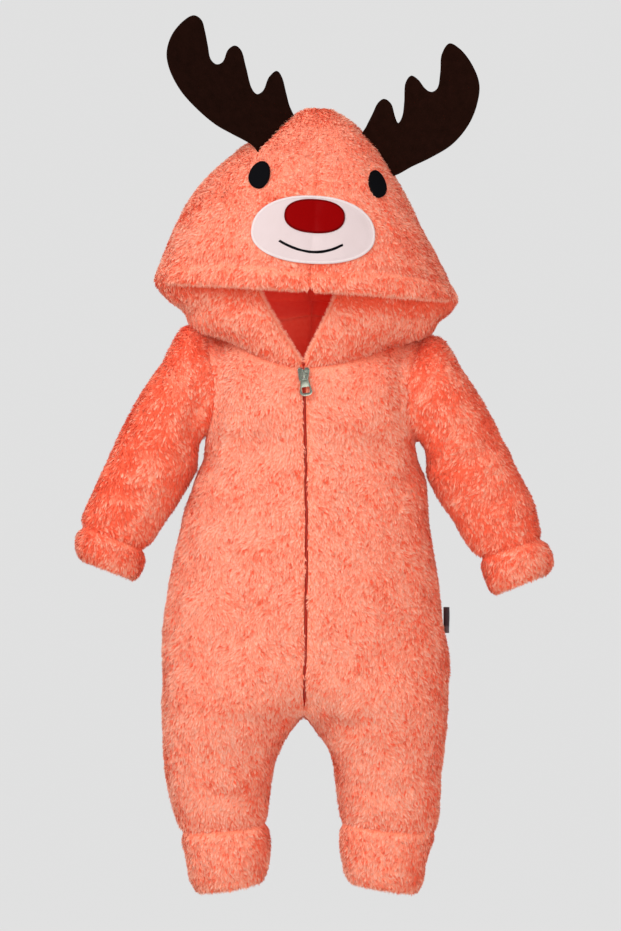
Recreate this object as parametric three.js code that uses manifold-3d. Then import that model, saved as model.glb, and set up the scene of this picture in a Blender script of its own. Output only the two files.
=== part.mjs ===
// A baby's hooded deer onesie in long-pile fleece, filled out as if worn, in millimetres.
// X runs to the right as seen from the front, Y away from the viewer, Z up.
// The origin lies between the shoulders, where the wearer's body holds the garment.
import * as THREE from 'three';
import { mergeVertices } from 'three/addons/utils/BufferGeometryUtils.js';
import Module from 'manifold-3d';

const wasm = await Module();
wasm.setup();

// Cloth
const wall = 7;              // fleece: knit ground and standing pile together
const seamGap = 0.3;         // between two pieces at a seam
const zipGap = 3.2;          // between the two front panels, where the zip shows
const panelColumns = 8;      // cells across a front or back panel
const neckColumns = 6;       // of those, the ones that end at the neck; the rest end at the shoulder
const armholeRows = 7;       // cells down the armhole

// Heights on the body
const neckFrontZ = -23;
const neckBackZ = 30;
const zipEndZ = -356;
const cleftTopZ = -326;      // the centre seams start to turn in towards the crotch here
const crotchZ = -376;

// Two sides: -1 is on the left of the front view
const sides = [
  { name: 'left', sign: -1 },
  { name: 'right', sign: 1 },
];

// Neck ring, shoulder tips and underarm points of each side
const neckFront = { x: -2.5, y: -60 };
const neckBack = { x: 6, y: 56 };
const shoulders = {
  left: { neckX: -84, neckZ: 8, tipX: -100, tipZ: 10, underX: -102, underZ: -93, midX: -92 },
  right: { neckX: 99, neckZ: 3, tipX: 117, tipZ: 4, underX: 112, underZ: -99, midX: 101 },
};
const neckSideY = 2;
const armholeHalfDepth = 44;

// Body below the underarm: z, the outer edge of each side, the inner edge of each leg, and depths
const bodyRows = [
  { z: -97, left: -102.5, right: 112, front: 66, back: 61 },
  { z: -118, left: -105, right: 116, front: 67, back: 62 },
  { z: -140, left: -113, right: 121, front: 68, back: 62 },
  { z: -165, left: -124, right: 124, front: 69, back: 63 },
  { z: -192, left: -130, right: 127, front: 70, back: 65 },
  { z: -220, left: -135, right: 133, front: 71, back: 68 },
  { z: -250, left: -141, right: 136, front: 73, back: 72 },
  { z: -280, left: -146, right: 138, front: 74, back: 75 },
  { z: -308, left: -145, right: 145.5, front: 74, back: 76 },
  { z: -330, left: -145.5, right: 145, front: 73, back: 75 },
  { z: -344, left: -146, right: 144, front: 71, back: 73 },
  { z: -356, left: -146, right: 144, front: 69, back: 71 },
  { z: -365, left: -146, right: 144, front: 67, back: 69 },
  { z: -371.5, left: -146, right: 144, front: 65.5, back: 67 },
  { z: -376, left: -146, right: 143.8, front: 64.5, back: 66 },
];
const legRows = [
  { z: -387, left: -146, innerLeft: -14, innerRight: 8, right: 143.5, front: 61, back: 62 },
  { z: -402, left: -145.5, innerLeft: -24, innerRight: 20, right: 140, front: 57, back: 58 },
  { z: -422, left: -143.5, innerLeft: -30, innerRight: 26, right: 138.5, front: 53, back: 54 },
  { z: -444, left: -140, innerLeft: -33, innerRight: 28, right: 137, front: 50, back: 50 },
  { z: -465, left: -134, innerLeft: -36, innerRight: 31, right: 135.5, front: 47, back: 47 },
  { z: -480, left: -127, innerLeft: -38, innerRight: 33, right: 132, front: 42, back: 42 },
];
const legCuffRows = [
  { z: -486, left: -127.5, innerLeft: -35, innerRight: 31, right: 131, front: 44, back: 44 },
  { z: -499, left: -124.5, innerLeft: -34, innerRight: 31, right: 126, front: 45, back: 45 },
  { z: -514, left: -120, innerLeft: -34, innerRight: 33, right: 122, front: 44, back: 44 },
  { z: -530, left: -118, innerLeft: -36, innerRight: 35, right: 120, front: 42, back: 42 },
  { z: -540, left: -112, innerLeft: -42, innerRight: 41, right: 114, front: 37, back: 37 },
];
const legTilt = 5;            // an ankle seam is higher on its inner side by this much, each way
const legSag = 4;             // and lower at the front and back by this much

// Sleeves: the outer and inner edge of each ring as seen from the front, and its half depth
const sleeveRows = {
  left: [
    { outerX: -112, outerZ: 17, innerX: -104, innerZ: -95, depth: 46 },
    { outerX: -125, outerZ: 16, innerX: -106, innerZ: -101, depth: 48 },
    { outerX: -141, outerZ: -7, innerX: -107, innerZ: -110, depth: 48 },
    { outerX: -157, outerZ: -31, innerX: -108.5, innerZ: -120, depth: 47 },
    { outerX: -171, outerZ: -56, innerX: -112.5, innerZ: -132, depth: 45 },
    { outerX: -187, outerZ: -84, innerX: -119, innerZ: -148, depth: 43 },
    { outerX: -201, outerZ: -114, innerX: -131.5, innerZ: -167, depth: 41 },
    { outerX: -215, outerZ: -143, innerX: -144.5, innerZ: -187, depth: 39 },
    { outerX: -223, outerZ: -164, innerX: -153.5, innerZ: -199, depth: 36 },
    { outerX: -225, outerZ: -180, innerX: -160, innerZ: -204, depth: 32 },
  ],
  right: [
    { outerX: 124, outerZ: 9, innerX: 115.5, innerZ: -102, depth: 46 },
    { outerX: 136, outerZ: 8, innerX: 118, innerZ: -108, depth: 48 },
    { outerX: 151, outerZ: -11, innerX: 119, innerZ: -116, depth: 48 },
    { outerX: 165, outerZ: -33, innerX: 120.5, innerZ: -126, depth: 47 },
    { outerX: 180, outerZ: -58, innerX: 123.5, innerZ: -139, depth: 45 },
    { outerX: 195, outerZ: -86, innerX: 131, innerZ: -155, depth: 43 },
    { outerX: 209, outerZ: -114, innerX: 142, innerZ: -173, depth: 41 },
    { outerX: 223, outerZ: -140, innerX: 153, innerZ: -192, depth: 39 },
    { outerX: 234, outerZ: -166, innerX: 163, innerZ: -207, depth: 36 },
    { outerX: 237, outerZ: -191, innerX: 172, innerZ: -213, depth: 32 },
  ],
};
const sleeveCuffRows = {
  left: [
    { outerX: -228, outerZ: -184, innerX: -159, innerZ: -207, depth: 34 },
    { outerX: -233, outerZ: -194, innerX: -160, innerZ: -219, depth: 35 },
    { outerX: -233, outerZ: -207, innerX: -163, innerZ: -230, depth: 33 },
    { outerX: -227, outerZ: -215, innerX: -170, innerZ: -235, depth: 28 },
  ],
  right: [
    { outerX: 242, outerZ: -196, innerX: 172, innerZ: -217, depth: 34 },
    { outerX: 249, outerZ: -207, innerX: 175, innerZ: -232, depth: 35 },
    { outerX: 249, outerZ: -221, innerX: 180, innerZ: -246, depth: 33 },
    { outerX: 242, outerZ: -229, innerX: 188, innerZ: -250, depth: 28 },
  ],
};

// Hood: level on the face's centre line, the edge of each side, that line's x, and depths.
// A level drops to the right, because the hood leans that way.
const hoodLean = 0.06;
const brimRow = { z: 54, left: -153, right: 154, middle: 3, front: 104, back: 72 };
const hoodRows = [
  { z: 60, left: -153, right: 153, middle: 4, front: 106, back: 74 },
  { z: 75, left: -147, right: 143, middle: 5, front: 106, back: 77 },
  { z: 96, left: -139, right: 133, middle: 6, front: 100, back: 79 },
  { z: 120, left: -129, right: 120, middle: 8, front: 92, back: 79 },
  { z: 148, left: -113, right: 105, middle: 10, front: 80, back: 75 },
  { z: 175, left: -89, right: 90, middle: 12, front: 64, back: 66 },
  { z: 198, left: -61, right: 76, middle: 12, front: 47, back: 52 },
  { z: 217, left: -32, right: 60, middle: 12, front: 30, back: 36 },
  { z: 230, left: -9, right: 40, middle: 12, front: 14, back: 21 },
];
const crown = { x: 13, y: 5, z: 237 };
const brimColumns = 9;        // cells from the face's centre line to the corner of the brim
const cheekColumns = neckColumns;
const hoodBackColumns = neckColumns + 2;
const cornerAngle = 71;       // degrees round from the centre line to the corner of the brim
const collarRows = 5;
const cheekTop = { z: 66, leftX: -54, rightX: 37, y: -74 };
const collarBulge = 14;
const shoulderFold = { out: 15, up: 2.5 };   // the collar's lowest level, where it lies on a shoulder

// Face: patches on the hood's front, each an oval about a centre seen from the front.
// above and below are its heights over and under its widest level, turn is in degrees clockwise.
const facePatches = [
  {
    name: 'muzzle', x: 7, z: 109, half: 61, above: 38, below: 29, turn: 3, round: 0.9,
    low: 0.7, high: 2.1,
  },
  {
    name: 'nose', x: 8.5, z: 126.5, half: 29.5, above: 16.5, below: 16.5, turn: 3.5, round: 0.86,
    low: 2.6, high: 4.2,
  },
  {
    name: 'eye_left', x: -46, z: 169, half: 9.6, above: 13.4, below: 13.4, turn: 22, round: 0.95,
    low: 0.6, high: 2,
  },
  {
    name: 'eye_right', x: 71, z: 160, half: 7.6, above: 13.6, below: 13.6, turn: -17, round: 0.95,
    low: 0.6, high: 2,
  },
];
const patchSpokes = 32;
const mouth = {
  leftX: -26, leftZ: 102, midX: 6, midZ: 91, rightX: 36, rightZ: 98,
  half: 1.3, low: 2.6, high: 3.8, cells: 12,
};

// Antlers: flat felt in a leaning plane y = y + yaw * (x - x) + pitch * (z - z), outline as seen from
// the front, starting at the base, which is cut to the hood
const antlerThick = 3.6;
const antlerSteps = 132;
const antlers = {
  left: {
    plane: { x: -43, z: 198, y: -35, yaw: 0.5, pitch: 0.45 },
    outline: [
      [-38, 196], [-46, 193], [-57, 201], [-74, 210], [-90, 219], [-109, 235], [-125, 253], [-136, 274],
      [-139, 291], [-134, 309], [-122, 324], [-112, 329.5], [-104.5, 325], [-101, 314], [-98, 299],
      [-95, 285], [-89, 280], [-83, 283], [-78, 295], [-71, 299.5], [-65, 295], [-60, 278], [-54, 256],
      [-49, 250.5], [-43, 254], [-37, 268], [-29, 274.5], [-24, 268], [-20, 253], [-16, 238], [-10, 226],
      [-12, 217], [-26, 206],
    ],
  },
  right: {
    plane: { x: 74, z: 191, y: -14, yaw: -0.2, pitch: 0.05 },
    outline: [
      [62, 196], [56, 208], [59, 216], [66, 230], [72, 242], [78, 246], [85, 241], [89, 228], [92, 221.5],
      [96, 228], [98, 242], [99.5, 262], [105, 269], [112, 265], [119, 256], [125, 252.5], [131, 256],
      [134, 272], [135.5, 290], [143, 301], [153, 296], [165, 281], [173, 260], [170.5, 239], [162, 219],
      [146, 200], [125, 187], [106, 178], [88, 169], [78, 170], [70, 182],
    ],
  },
};

// Zip: the chain lies in the gap between the front panels, its tapes behind them
const chain = { half: 1.2, low: -6.9, high: -4.2 };
const tape = { inner: 0.15, outer: 11, low: -8.8, high: -8 };
const sliderZ = -30;
const plate = { topHalf: 6, bottomHalf: 4.6, halfLength: 7, low: 0.4, high: 1.9 };
const backPlate = { topHalf: 5, bottomHalf: 4, halfLength: 6.5, low: -8.9, high: -7.4 };
const post = { half: 1.1, bottom: 0.5, top: 6 };
const arch = { half: 1.2, inner: 3.2, outer: 5, under: 4.2, top: 5.4 };
const pull = {
  thick: 1.4, bar: 0.8, eyeHalf: 2.5, eyeEnd: 6, topHalf: 3.5, neckHalf: 4, endHalf: 6.2, end: 22.3,
};
const pullWindow = { half: 3.9, top: 13.2, bottom: 19.4 };
const pullTilt = 8;           // degrees, its lower end towards +X

const label = { topZ: -262, bottomZ: -288, reach: 8, thick: 1.6, forward: 0.8 };

const lerp = THREE.MathUtils.lerp;
const degrees = THREE.MathUtils.degToRad;

function point(x, y, z) {
  return new THREE.Vector3(x, y, z);
}

// The whole skin of the garment is one welded sheet. A piece is a set of its faces, so two pieces
// that share a seam share its points and their thickness direction.
const skin = { points: [], index: new Map(), pieces: new Map(), neck: new Set() };

function weld(p) {
  const key = [p.x, p.y, p.z].map((value) => Math.round(value * 100)).join(',');
  if (!skin.index.has(key)) {
    skin.index.set(key, skin.points.length);
    skin.points.push(p.clone());
  }
  return skin.index.get(key);
}

// Adds a grid of points to a piece as quads, in two triangles each, with its outside outward
function addGrid(name, grid, flip) {
  if (!skin.pieces.has(name)) skin.pieces.set(name, []);
  const faces = skin.pieces.get(name);
  const ids = grid.map((row) => row.map(weld));
  for (let r = 0; r + 1 < ids.length; r += 1) {
    for (let c = 0; c + 1 < ids[r].length; c += 1) {
      const corners = [ids[r][c], ids[r + 1][c], ids[r + 1][c + 1], ids[r][c + 1]];
      if (flip) corners.reverse();
      const [a, b, d, e] = corners;
      for (const face of [[a, b, d], [a, d, e]]) {
        if (new Set(face).size === 3) faces.push(face);
      }
    }
  }
}

function faceNormal(face) {
  const [a, b, c] = face.map((id) => skin.points[id]);
  return b.clone().sub(a).cross(c.clone().sub(a));
}

// The direction of thickness at each point: the mean of its faces' normals by their angles there,
// but level and outward round the neck seam, where the hood overhangs
function skinNormals() {
  const normals = skin.points.map(() => point(0, 0, 0));
  for (const faces of skin.pieces.values()) {
    for (const face of faces) {
      const normal = faceNormal(face).normalize();
      face.forEach((id, at) => {
        const here = skin.points[id];
        const ahead = skin.points[face[(at + 1) % 3]].clone().sub(here);
        const behind = skin.points[face[(at + 2) % 3]].clone().sub(here);
        normals[id].addScaledVector(normal, ahead.angleTo(behind));
      });
    }
  }
  for (const id of skin.neck) {
    const p = skin.points[id];
    normals[id].set(p.x - (neckFront.x + neckBack.x) / 2, p.y, 0);
  }
  return normals.map((normal) => normal.normalize());
}

// A grid between four edges that meet at their ends; down and across are counted from 0 to 1
function coons(top, bottom, start, end, rows, columns) {
  const grid = [];
  for (let r = 0; r <= rows; r += 1) {
    const v = r / rows;
    const row = [];
    for (let c = 0; c <= columns; c += 1) {
      const u = c / columns;
      const p = top(u).multiplyScalar(1 - v).addScaledVector(bottom(u), v);
      p.addScaledVector(start(v), 1 - u).addScaledVector(end(v), u);
      p.addScaledVector(top(0), -(1 - u) * (1 - v)).addScaledVector(top(1), -u * (1 - v));
      p.addScaledVector(bottom(0), -(1 - u) * v).addScaledVector(bottom(1), -u * v);
      row.push(p);
    }
    grid.push(row);
  }
  return grid;
}

function power(value, exponent) {
  return Math.sign(value) * Math.abs(value) ** exponent;
}

// One level of a front or back panel: an arc of a rounded oval from its inner edge to the side seam.
// wrap is 0 on the trunk, where the arc is a quarter, and 1 on a leg, where it is a half.
const roundness = 0.88;

function arcRow({ inner, outer, depth, z, wrap, tilt = 0, sag = 0 }) {
  const start = Math.acos(-wrap);
  const radius = (outer - inner) / (1 + wrap ** roundness);
  const centre = outer - radius;
  const row = [];
  for (let c = 0; c <= panelColumns; c += 1) {
    const angle = start * (1 - c / panelColumns);
    const across = power(Math.cos(angle), roundness);
    const deep = power(Math.sin(angle), roundness);
    row.push(point(centre + radius * across, depth * deep, z - tilt * across - sag * Math.abs(deep)));
  }
  return row;
}

// The centre line's x at a height, straight from the neck to the crotch
function centreX(z) {
  const along = (neckFrontZ - z) / (neckFrontZ - crotchZ);
  return lerp(neckFront.x, -2.5, along) + 3 * Math.sin(Math.PI * Math.min(1, Math.max(0, along)));
}

function trunkRows(side, facing) {
  const depthName = facing < 0 ? 'front' : 'back';
  return bodyRows.map((row) => {
    const wrap = Math.max(0, (cleftTopZ - row.z) / (cleftTopZ - crotchZ));
    return arcRow({
      inner: centreX(row.z),
      outer: row[side.name],
      depth: facing * row[depthName],
      z: row.z,
      wrap: Math.min(1, wrap),
    });
  });
}

function legRowsOf(rows, side, facing, tilted) {
  const depthName = facing < 0 ? 'front' : 'back';
  const innerName = side.sign < 0 ? 'innerLeft' : 'innerRight';
  return rows.map((row, at) => arcRow({
    inner: row[innerName],
    outer: row[side.name],
    depth: facing * row[depthName],
    z: row.z,
    wrap: 1,
    tilt: legTilt * (tilted ? 1 : ((at + 1) / rows.length) ** 2),
    sag: legSag * (tilted ? 1 : ((at + 1) / rows.length) ** 2),
  }));
}

// Seam lines of the yoke
function neckSeam(side, facing) {
  const end = shoulders[side.name];
  const middle = facing < 0 ? neckFront : neckBack;
  const middleZ = facing < 0 ? neckFrontZ : neckBackZ;
  return (u) => {
    const angle = (u * Math.PI) / 2;
    const rise = Math.sin(angle) ** 1.6;
    return point(
      lerp(middle.x, end.neckX, Math.sin(angle)),
      lerp(neckSideY, middle.y, Math.cos(angle)),
      lerp(middleZ, end.neckZ, rise),
    );
  };
}

// The top edge of a panel: the neck seam, then the short shoulder seam
function panelTop(side, facing) {
  const neck = neckSeam(side, facing);
  const end = shoulders[side.name];
  const share = neckColumns / panelColumns;
  const neckEnd = point(end.neckX, neckSideY, end.neckZ);
  const tip = point(end.tipX, neckSideY, end.tipZ);
  return (u) => (u <= share ? neck(u / share) : neckEnd.clone().lerp(tip, (u - share) / (1 - share)));
}

function armhole(side, facing) {
  const end = shoulders[side.name];
  return (v) => {
    const angle = v * Math.PI;
    const pull = Math.sin(angle) ** 1.3;
    return point(
      lerp(lerp(end.tipX, end.underX, v), end.midX, pull),
      neckSideY * (1 - v) + facing * armholeHalfDepth * Math.sin(angle) ** 0.9,
      lerp(end.tipZ, end.underZ, (1 - Math.cos(angle)) / 2),
    );
  };
}

// A function through points that are evenly spaced in its parameter
function through(points) {
  return (u) => {
    const at = Math.min(u * (points.length - 1), points.length - 1.000001);
    const low = Math.floor(at);
    return points[low].clone().lerp(points[low + 1], at - low);
  };
}

function centreLine(side, facing, lowest) {
  const top = panelTop(side, facing)(0);
  return (v) => {
    const p = top.clone().lerp(lowest, v);
    p.y += facing * 2 * Math.sin(v * Math.PI);
    p.x = facing < 0 ? lerp(centreX(p.z), p.x, (1 - v) ** 4) : p.x;
    return p;
  };
}

function yoke(side, facing, chestRow) {
  return coons(
    panelTop(side, facing),
    through(chestRow),
    centreLine(side, facing, chestRow[0]),
    armhole(side, facing),
    armholeRows,
    panelColumns,
  );
}

function addPanel(side, facing) {
  const rows = trunkRows(side, facing);
  const end = shoulders[side.name];
  rows[0][panelColumns] = point(end.underX, 0, end.underZ);
  const top = yoke(side, facing, rows[0]);
  const legs = legRowsOf(legRows, side, facing, false);
  const name = `${facing < 0 ? 'front' : 'back'}_${side.name}`;
  const flip = side.sign * facing > 0;
  addGrid(name, [...top, ...rows.slice(1), ...legs], flip);
  return legs[legs.length - 1];
}

function addLegCuff(side, ankle) {
  const rows = [];
  for (const facing of [-1, 1]) {
    rows.push([ankle[facing], ...legRowsOf(legCuffRows, side, facing, true)]);
  }
  addGrid(`leg_cuff_${side.name}`, rows[0], side.sign < 0);
  addGrid(`leg_cuff_${side.name}`, rows[1], side.sign > 0);
}

// A ring of a sleeve, from its outer edge over the front to its inner edge and back
function sleeveRing(row) {
  const outer = point(row.outerX, 0, row.outerZ);
  const inner = point(row.innerX, 0, row.innerZ);
  const centre = outer.clone().add(inner).multiplyScalar(0.5);
  const across = outer.sub(inner).multiplyScalar(0.5);
  const ring = [];
  for (let c = 0; c <= 2 * armholeRows; c += 1) {
    const angle = (c / armholeRows) * Math.PI;
    const p = centre.clone().addScaledVector(across, Math.cos(angle));
    p.y = -row.depth * power(Math.sin(angle), roundness);
    ring.push(p);
  }
  return ring;
}

function armholeRing(side) {
  const front = armhole(side, -1);
  const back = armhole(side, 1);
  const end = shoulders[side.name];
  const ring = [];
  for (let c = 0; c < armholeRows; c += 1) ring.push(front(c / armholeRows));
  ring.push(point(end.underX, 0, end.underZ));
  for (let c = armholeRows - 1; c >= 0; c -= 1) ring.push(back(c / armholeRows));
  return ring;
}

function addSleeve(side) {
  const rings = sleeveRows[side.name].map(sleeveRing);
  const cuff = sleeveCuffRows[side.name].map(sleeveRing);
  addGrid(`sleeve_${side.name}`, [armholeRing(side), ...rings], side.sign > 0);
  addGrid(`sleeve_cuff_${side.name}`, [rings[rings.length - 1], ...cuff], side.sign > 0);
}

// A level of the hood, from the centre line at the front round one side to the centre back
function hoodPoint(row, side, angle) {
  const depth = Math.cos(angle) > 0 ? row.front : row.back;
  const out = power(Math.sin(angle), roundness);
  const x = lerp(row.middle, row[side.name], out);
  const y = -depth * power(Math.cos(angle), roundness);
  return point(x, y, row.z - hoodLean * x);
}

function hoodAngles() {
  const corner = degrees(cornerAngle);
  const angles = [];
  for (let c = 0; c <= brimColumns; c += 1) angles.push((corner * c) / brimColumns);
  for (let c = 1; c <= hoodBackColumns; c += 1) {
    angles.push(lerp(corner, Math.PI, c / hoodBackColumns));
  }
  return angles;
}

function addHood(side) {
  const name = `hood_${side.name}`;
  const angles = hoodAngles();
  const rows = [brimRow, ...hoodRows].map((row) => angles.map((angle) => hoodPoint(row, side, angle)));
  rows.push(angles.map(() => point(crown.x, crown.y, crown.z)));
  addGrid(name, rows, side.sign > 0);

  // The collar and cheek: from the neck seam up to the brim's level
  const collarTop = cheekEdge(side, rows[0][brimColumns]).concat(rows[0].slice(brimColumns + 1));
  const frontSeam = neckSeam(side, -1);
  const backSeam = neckSeam(side, 1);
  const neck = [];
  for (let c = 0; c <= neckColumns; c += 1) neck.push(frontSeam(c / neckColumns));
  for (let c = 1; c <= hoodBackColumns; c += 1) neck.push(backSeam(1 - c / hoodBackColumns));
  for (const p of neck) skin.neck.add(weld(p));
  const grid = [];
  for (let r = 0; r <= collarRows; r += 1) {
    const v = r / collarRows;
    const bulge = collarBulge * Math.sin(Math.PI * v);
    grid.push(collarTop.map((top, c) => {
      const p = neck[c].clone().lerp(top, v);
      const out = point(p.x - centreX(0), p.y, 0).normalize();
      const free = c === 0 ? 0.35 : 1;
      const fold = r === 1 ? Math.max(0, side.sign * out.x) ** 3 : 0;
      if (r > 0 && r < collarRows) p.addScaledVector(out, bulge * free + shoulderFold.out * fold);
      p.z += shoulderFold.up * fold;
      return p;
    }));
  }
  addGrid(name, grid, side.sign > 0);
}

// The cheek's free top edge, from the edge of the face opening to the corner of the brim
function cheekEdge(side, corner) {
  const x = side.sign < 0 ? cheekTop.leftX : cheekTop.rightX;
  const start = point(x, cheekTop.y, cheekTop.z);
  const edge = [];
  for (let c = 0; c < cheekColumns; c += 1) {
    const u = c / cheekColumns;
    const p = start.clone().lerp(corner, u);
    p.y -= 6 * Math.sin(Math.PI * u);
    p.z = lerp(start.z, corner.z, u ** 3);
    edge.push(p);
  }
  edge.push(corner);
  return edge;
}

// The edges of a set of faces that only one of them has
function boundaryEdges(faces) {
  const edges = new Map();
  for (const [a, b, c] of faces) {
    for (const [from, to] of [[a, b], [b, c], [c, a]]) edges.set(`${from},${to}`, [from, to]);
  }
  return [...edges.values()].filter(([from, to]) => !edges.has(`${to},${from}`));
}

// How far each point of a piece's edge moves away from the seam, square to the seam and to the
// direction of the wall's thickness there, so that both sides of the seam stay parallel
function seamShifts(faces, normals, amount) {
  const inward = new Map();
  for (const [from, to] of boundaryEdges(faces)) {
    const along = skin.points[to].clone().sub(skin.points[from]);
    const across = normals[from].clone().add(normals[to]).cross(along).normalize();
    for (const id of [from, to]) {
      if (!inward.has(id)) inward.set(id, []);
      inward.get(id).push(across);
    }
  }
  const shifts = new Map();
  for (const [id, list] of inward) {
    const first = list[0];
    const second = list[list.length - 1];
    const mitre = Math.max(0.4, 1 + first.dot(second));
    shifts.set(id, first.clone().add(second).multiplyScalar(amount / mitre));
  }
  return shifts;
}

// Above the zip's end, the front panels stand further apart
function zipShift(name, id) {
  const p = skin.points[id];
  const onZip = name.startsWith('front') && Math.abs(p.x - centreX(p.z)) < 0.5 && p.z > zipEndZ - 1;
  if (!onZip || p.y > 0) return 0;
  return (name.endsWith('left') ? -1 : 1) * (zipGap - seamGap) / 2;
}

// Thickens a piece of the skin into a closed wall: grow moves its outside out, and thick is the
// wall's whole depth from there
function closedWall(name, normals, grow = 0, thick = wall) {
  const faces = skin.pieces.get(name);
  const shifts = seamShifts(faces, normals, seamGap / 2);
  const ids = [...new Set(faces.flat())];
  const place = new Map(ids.map((id, at) => [id, at]));
  const outer = [];
  const inner = [];
  for (const id of ids) {
    const p = skin.points[id].clone().addScaledVector(normals[id], grow);
    if (shifts.has(id)) p.add(shifts.get(id));
    p.x += zipShift(name, id);
    outer.push(p);
    inner.push(p.clone().addScaledVector(normals[id], -thick));
  }
  const count = ids.length;
  const triangles = [];
  for (const face of faces) {
    const [a, b, c] = face.map((id) => place.get(id));
    triangles.push([a, b, c], [c + count, b + count, a + count]);
  }
  for (const [from, to] of boundaryEdges(faces)) {
    const a = place.get(from);
    const b = place.get(to);
    // The same diagonal on both sides of a seam, so that two twisted edges stay parallel
    if (from < to) triangles.push([b, a, b + count], [a, a + count, b + count]);
    else triangles.push([b, a, a + count], [b, a + count, b + count]);
  }
  return meshGeometry([...outer, ...inner], triangles);
}

function meshGeometry(points, triangles) {
  const geometry = new THREE.BufferGeometry();
  geometry.setAttribute(
    'position',
    new THREE.Float32BufferAttribute(points.flatMap((p) => [p.x, p.y, p.z]), 3),
  );
  geometry.setIndex(triangles.flat());
  geometry.computeVertexNormals();
  return geometry;
}

const group = new THREE.Group();

function cloth(r, g, b, roughness = 0.95) {
  return new THREE.MeshStandardMaterial({ color: new THREE.Color(r, g, b), roughness, metalness: 0 });
}

const fleece = cloth(0.93, 0.42, 0.31);
const felt = cloth(0.07, 0.03, 0.02);
const materials = {
  muzzle: cloth(0.95, 0.87, 0.86, 0.7),
  nose: cloth(0.4, 0.01, 0.01, 0.5),
  mouth: cloth(0.02, 0.015, 0.015, 0.5),
  eye_left: cloth(0.015, 0.015, 0.015, 0.5),
  eye_right: cloth(0.015, 0.015, 0.015, 0.5),
  tape: cloth(0.45, 0.06, 0.04),
  label: cloth(0.07, 0.07, 0.08),
  metal: new THREE.MeshStandardMaterial({ color: 0xb9b7b2, roughness: 0.3, metalness: 1 }),
};

function addMesh(name, geometry, material, parent = group) {
  const mesh = new THREE.Mesh(geometry, material);
  mesh.name = name;
  parent.add(mesh);
  return mesh;
}

function buildSkin() {
  for (const side of sides) {
    const ankle = {};
    for (const facing of [-1, 1]) ankle[facing] = addPanel(side, facing);
    addLegCuff(side, ankle);
    addSleeve(side);
    addHood(side);
  }
  const normals = skinNormals();
  for (const name of skin.pieces.keys()) addMesh(name, closedWall(name, normals), fleece);
  return normals;
}

const skinNormal = buildSkin();

// The foremost point of the hood at x, z as seen from the front, with the skin's direction there
function onHood(x, z) {
  let best = null;
  for (const side of sides) {
    for (const face of skin.pieces.get(`hood_${side.name}`)) {
      const [a, b, c] = face.map((id) => skin.points[id]);
      const area = (b.x - a.x) * (c.z - a.z) - (c.x - a.x) * (b.z - a.z);
      if (Math.abs(area) < 1e-9) continue;
      const v = ((x - a.x) * (c.z - a.z) - (c.x - a.x) * (z - a.z)) / area;
      const w = ((b.x - a.x) * (z - a.z) - (x - a.x) * (b.z - a.z)) / area;
      if (v < -1e-9 || w < -1e-9 || v + w > 1 + 1e-9) continue;
      const y = a.y + v * (b.y - a.y) + w * (c.y - a.y);
      if (best && best.p.y <= y) continue;
      const n = point(0, 0, 0);
      [1 - v - w, v, w].forEach((share, at) => n.addScaledVector(skinNormal[face[at]], share));
      best = { p: point(x, y, z), n: n.normalize() };
    }
  }
  return best;
}

function ovalPoint(patch, angle, scale) {
  const across = patch.half * power(Math.cos(angle), patch.round) * scale;
  const tall = Math.sin(angle) > 0 ? patch.above : patch.below;
  const up = tall * power(Math.sin(angle), patch.round) * scale;
  const turn = degrees(patch.turn);
  return {
    x: patch.x + across * Math.cos(turn) + up * Math.sin(turn),
    z: patch.z - across * Math.sin(turn) + up * Math.cos(turn),
  };
}

// A patch of cloth on the hood: rings about its centre, each point set out from the hood's skin
function addFacePatch(patch) {
  const rings = Math.max(2, Math.round(patch.half / 9));
  const outer = [];
  const inner = [];
  const put = ({ x, z }) => {
    const { p, n } = onHood(x, z);
    outer.push(p.clone().addScaledVector(n, patch.high));
    inner.push(p.clone().addScaledVector(n, patch.low));
  };
  put(patch);
  for (let r = 1; r <= rings; r += 1) {
    for (let s = 0; s < patchSpokes; s += 1) {
      put(ovalPoint(patch, (s / patchSpokes) * 2 * Math.PI, r / rings));
    }
  }
  const at = (r, s) => (r === 0 ? 0 : 1 + (r - 1) * patchSpokes + (s % patchSpokes));
  const count = outer.length;
  const triangles = [];
  const both = (a, b, c) => triangles.push([a, b, c], [c + count, b + count, a + count]);
  for (let s = 0; s < patchSpokes; s += 1) {
    both(at(0, 0), at(1, s), at(1, s + 1));
    for (let r = 1; r < rings; r += 1) {
      both(at(r, s), at(r + 1, s), at(r + 1, s + 1));
      both(at(r, s), at(r + 1, s + 1), at(r, s + 1));
    }
    const a = at(rings, s);
    const b = at(rings, s + 1);
    triangles.push([b, a, a + count], [b, a + count, b + count]);
  }
  addMesh(patch.name, meshGeometry([...outer, ...inner], triangles), materials[patch.name]);
}

// A bar of four corners swept along frames, each a point p, a way out n and a way across a
function sweep(frames, from, to, low, high) {
  const points = [];
  for (const { p, n, a } of frames) {
    for (const [across, out] of [[from, high], [from, low], [to, low], [to, high]]) {
      points.push(p.clone().addScaledVector(a, across).addScaledVector(n, out));
    }
  }
  const triangles = [];
  for (let f = 0; f + 1 < frames.length; f += 1) {
    for (let k = 0; k < 4; k += 1) {
      const a = f * 4 + k;
      const b = f * 4 + ((k + 1) % 4);
      triangles.push([a, a + 4, b], [b, a + 4, b + 4]);
    }
  }
  const last = (frames.length - 1) * 4;
  triangles.push([0, 1, 2], [0, 2, 3], [last + 2, last + 1, last], [last + 3, last + 2, last]);
  return meshGeometry(points, triangles);
}

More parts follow.
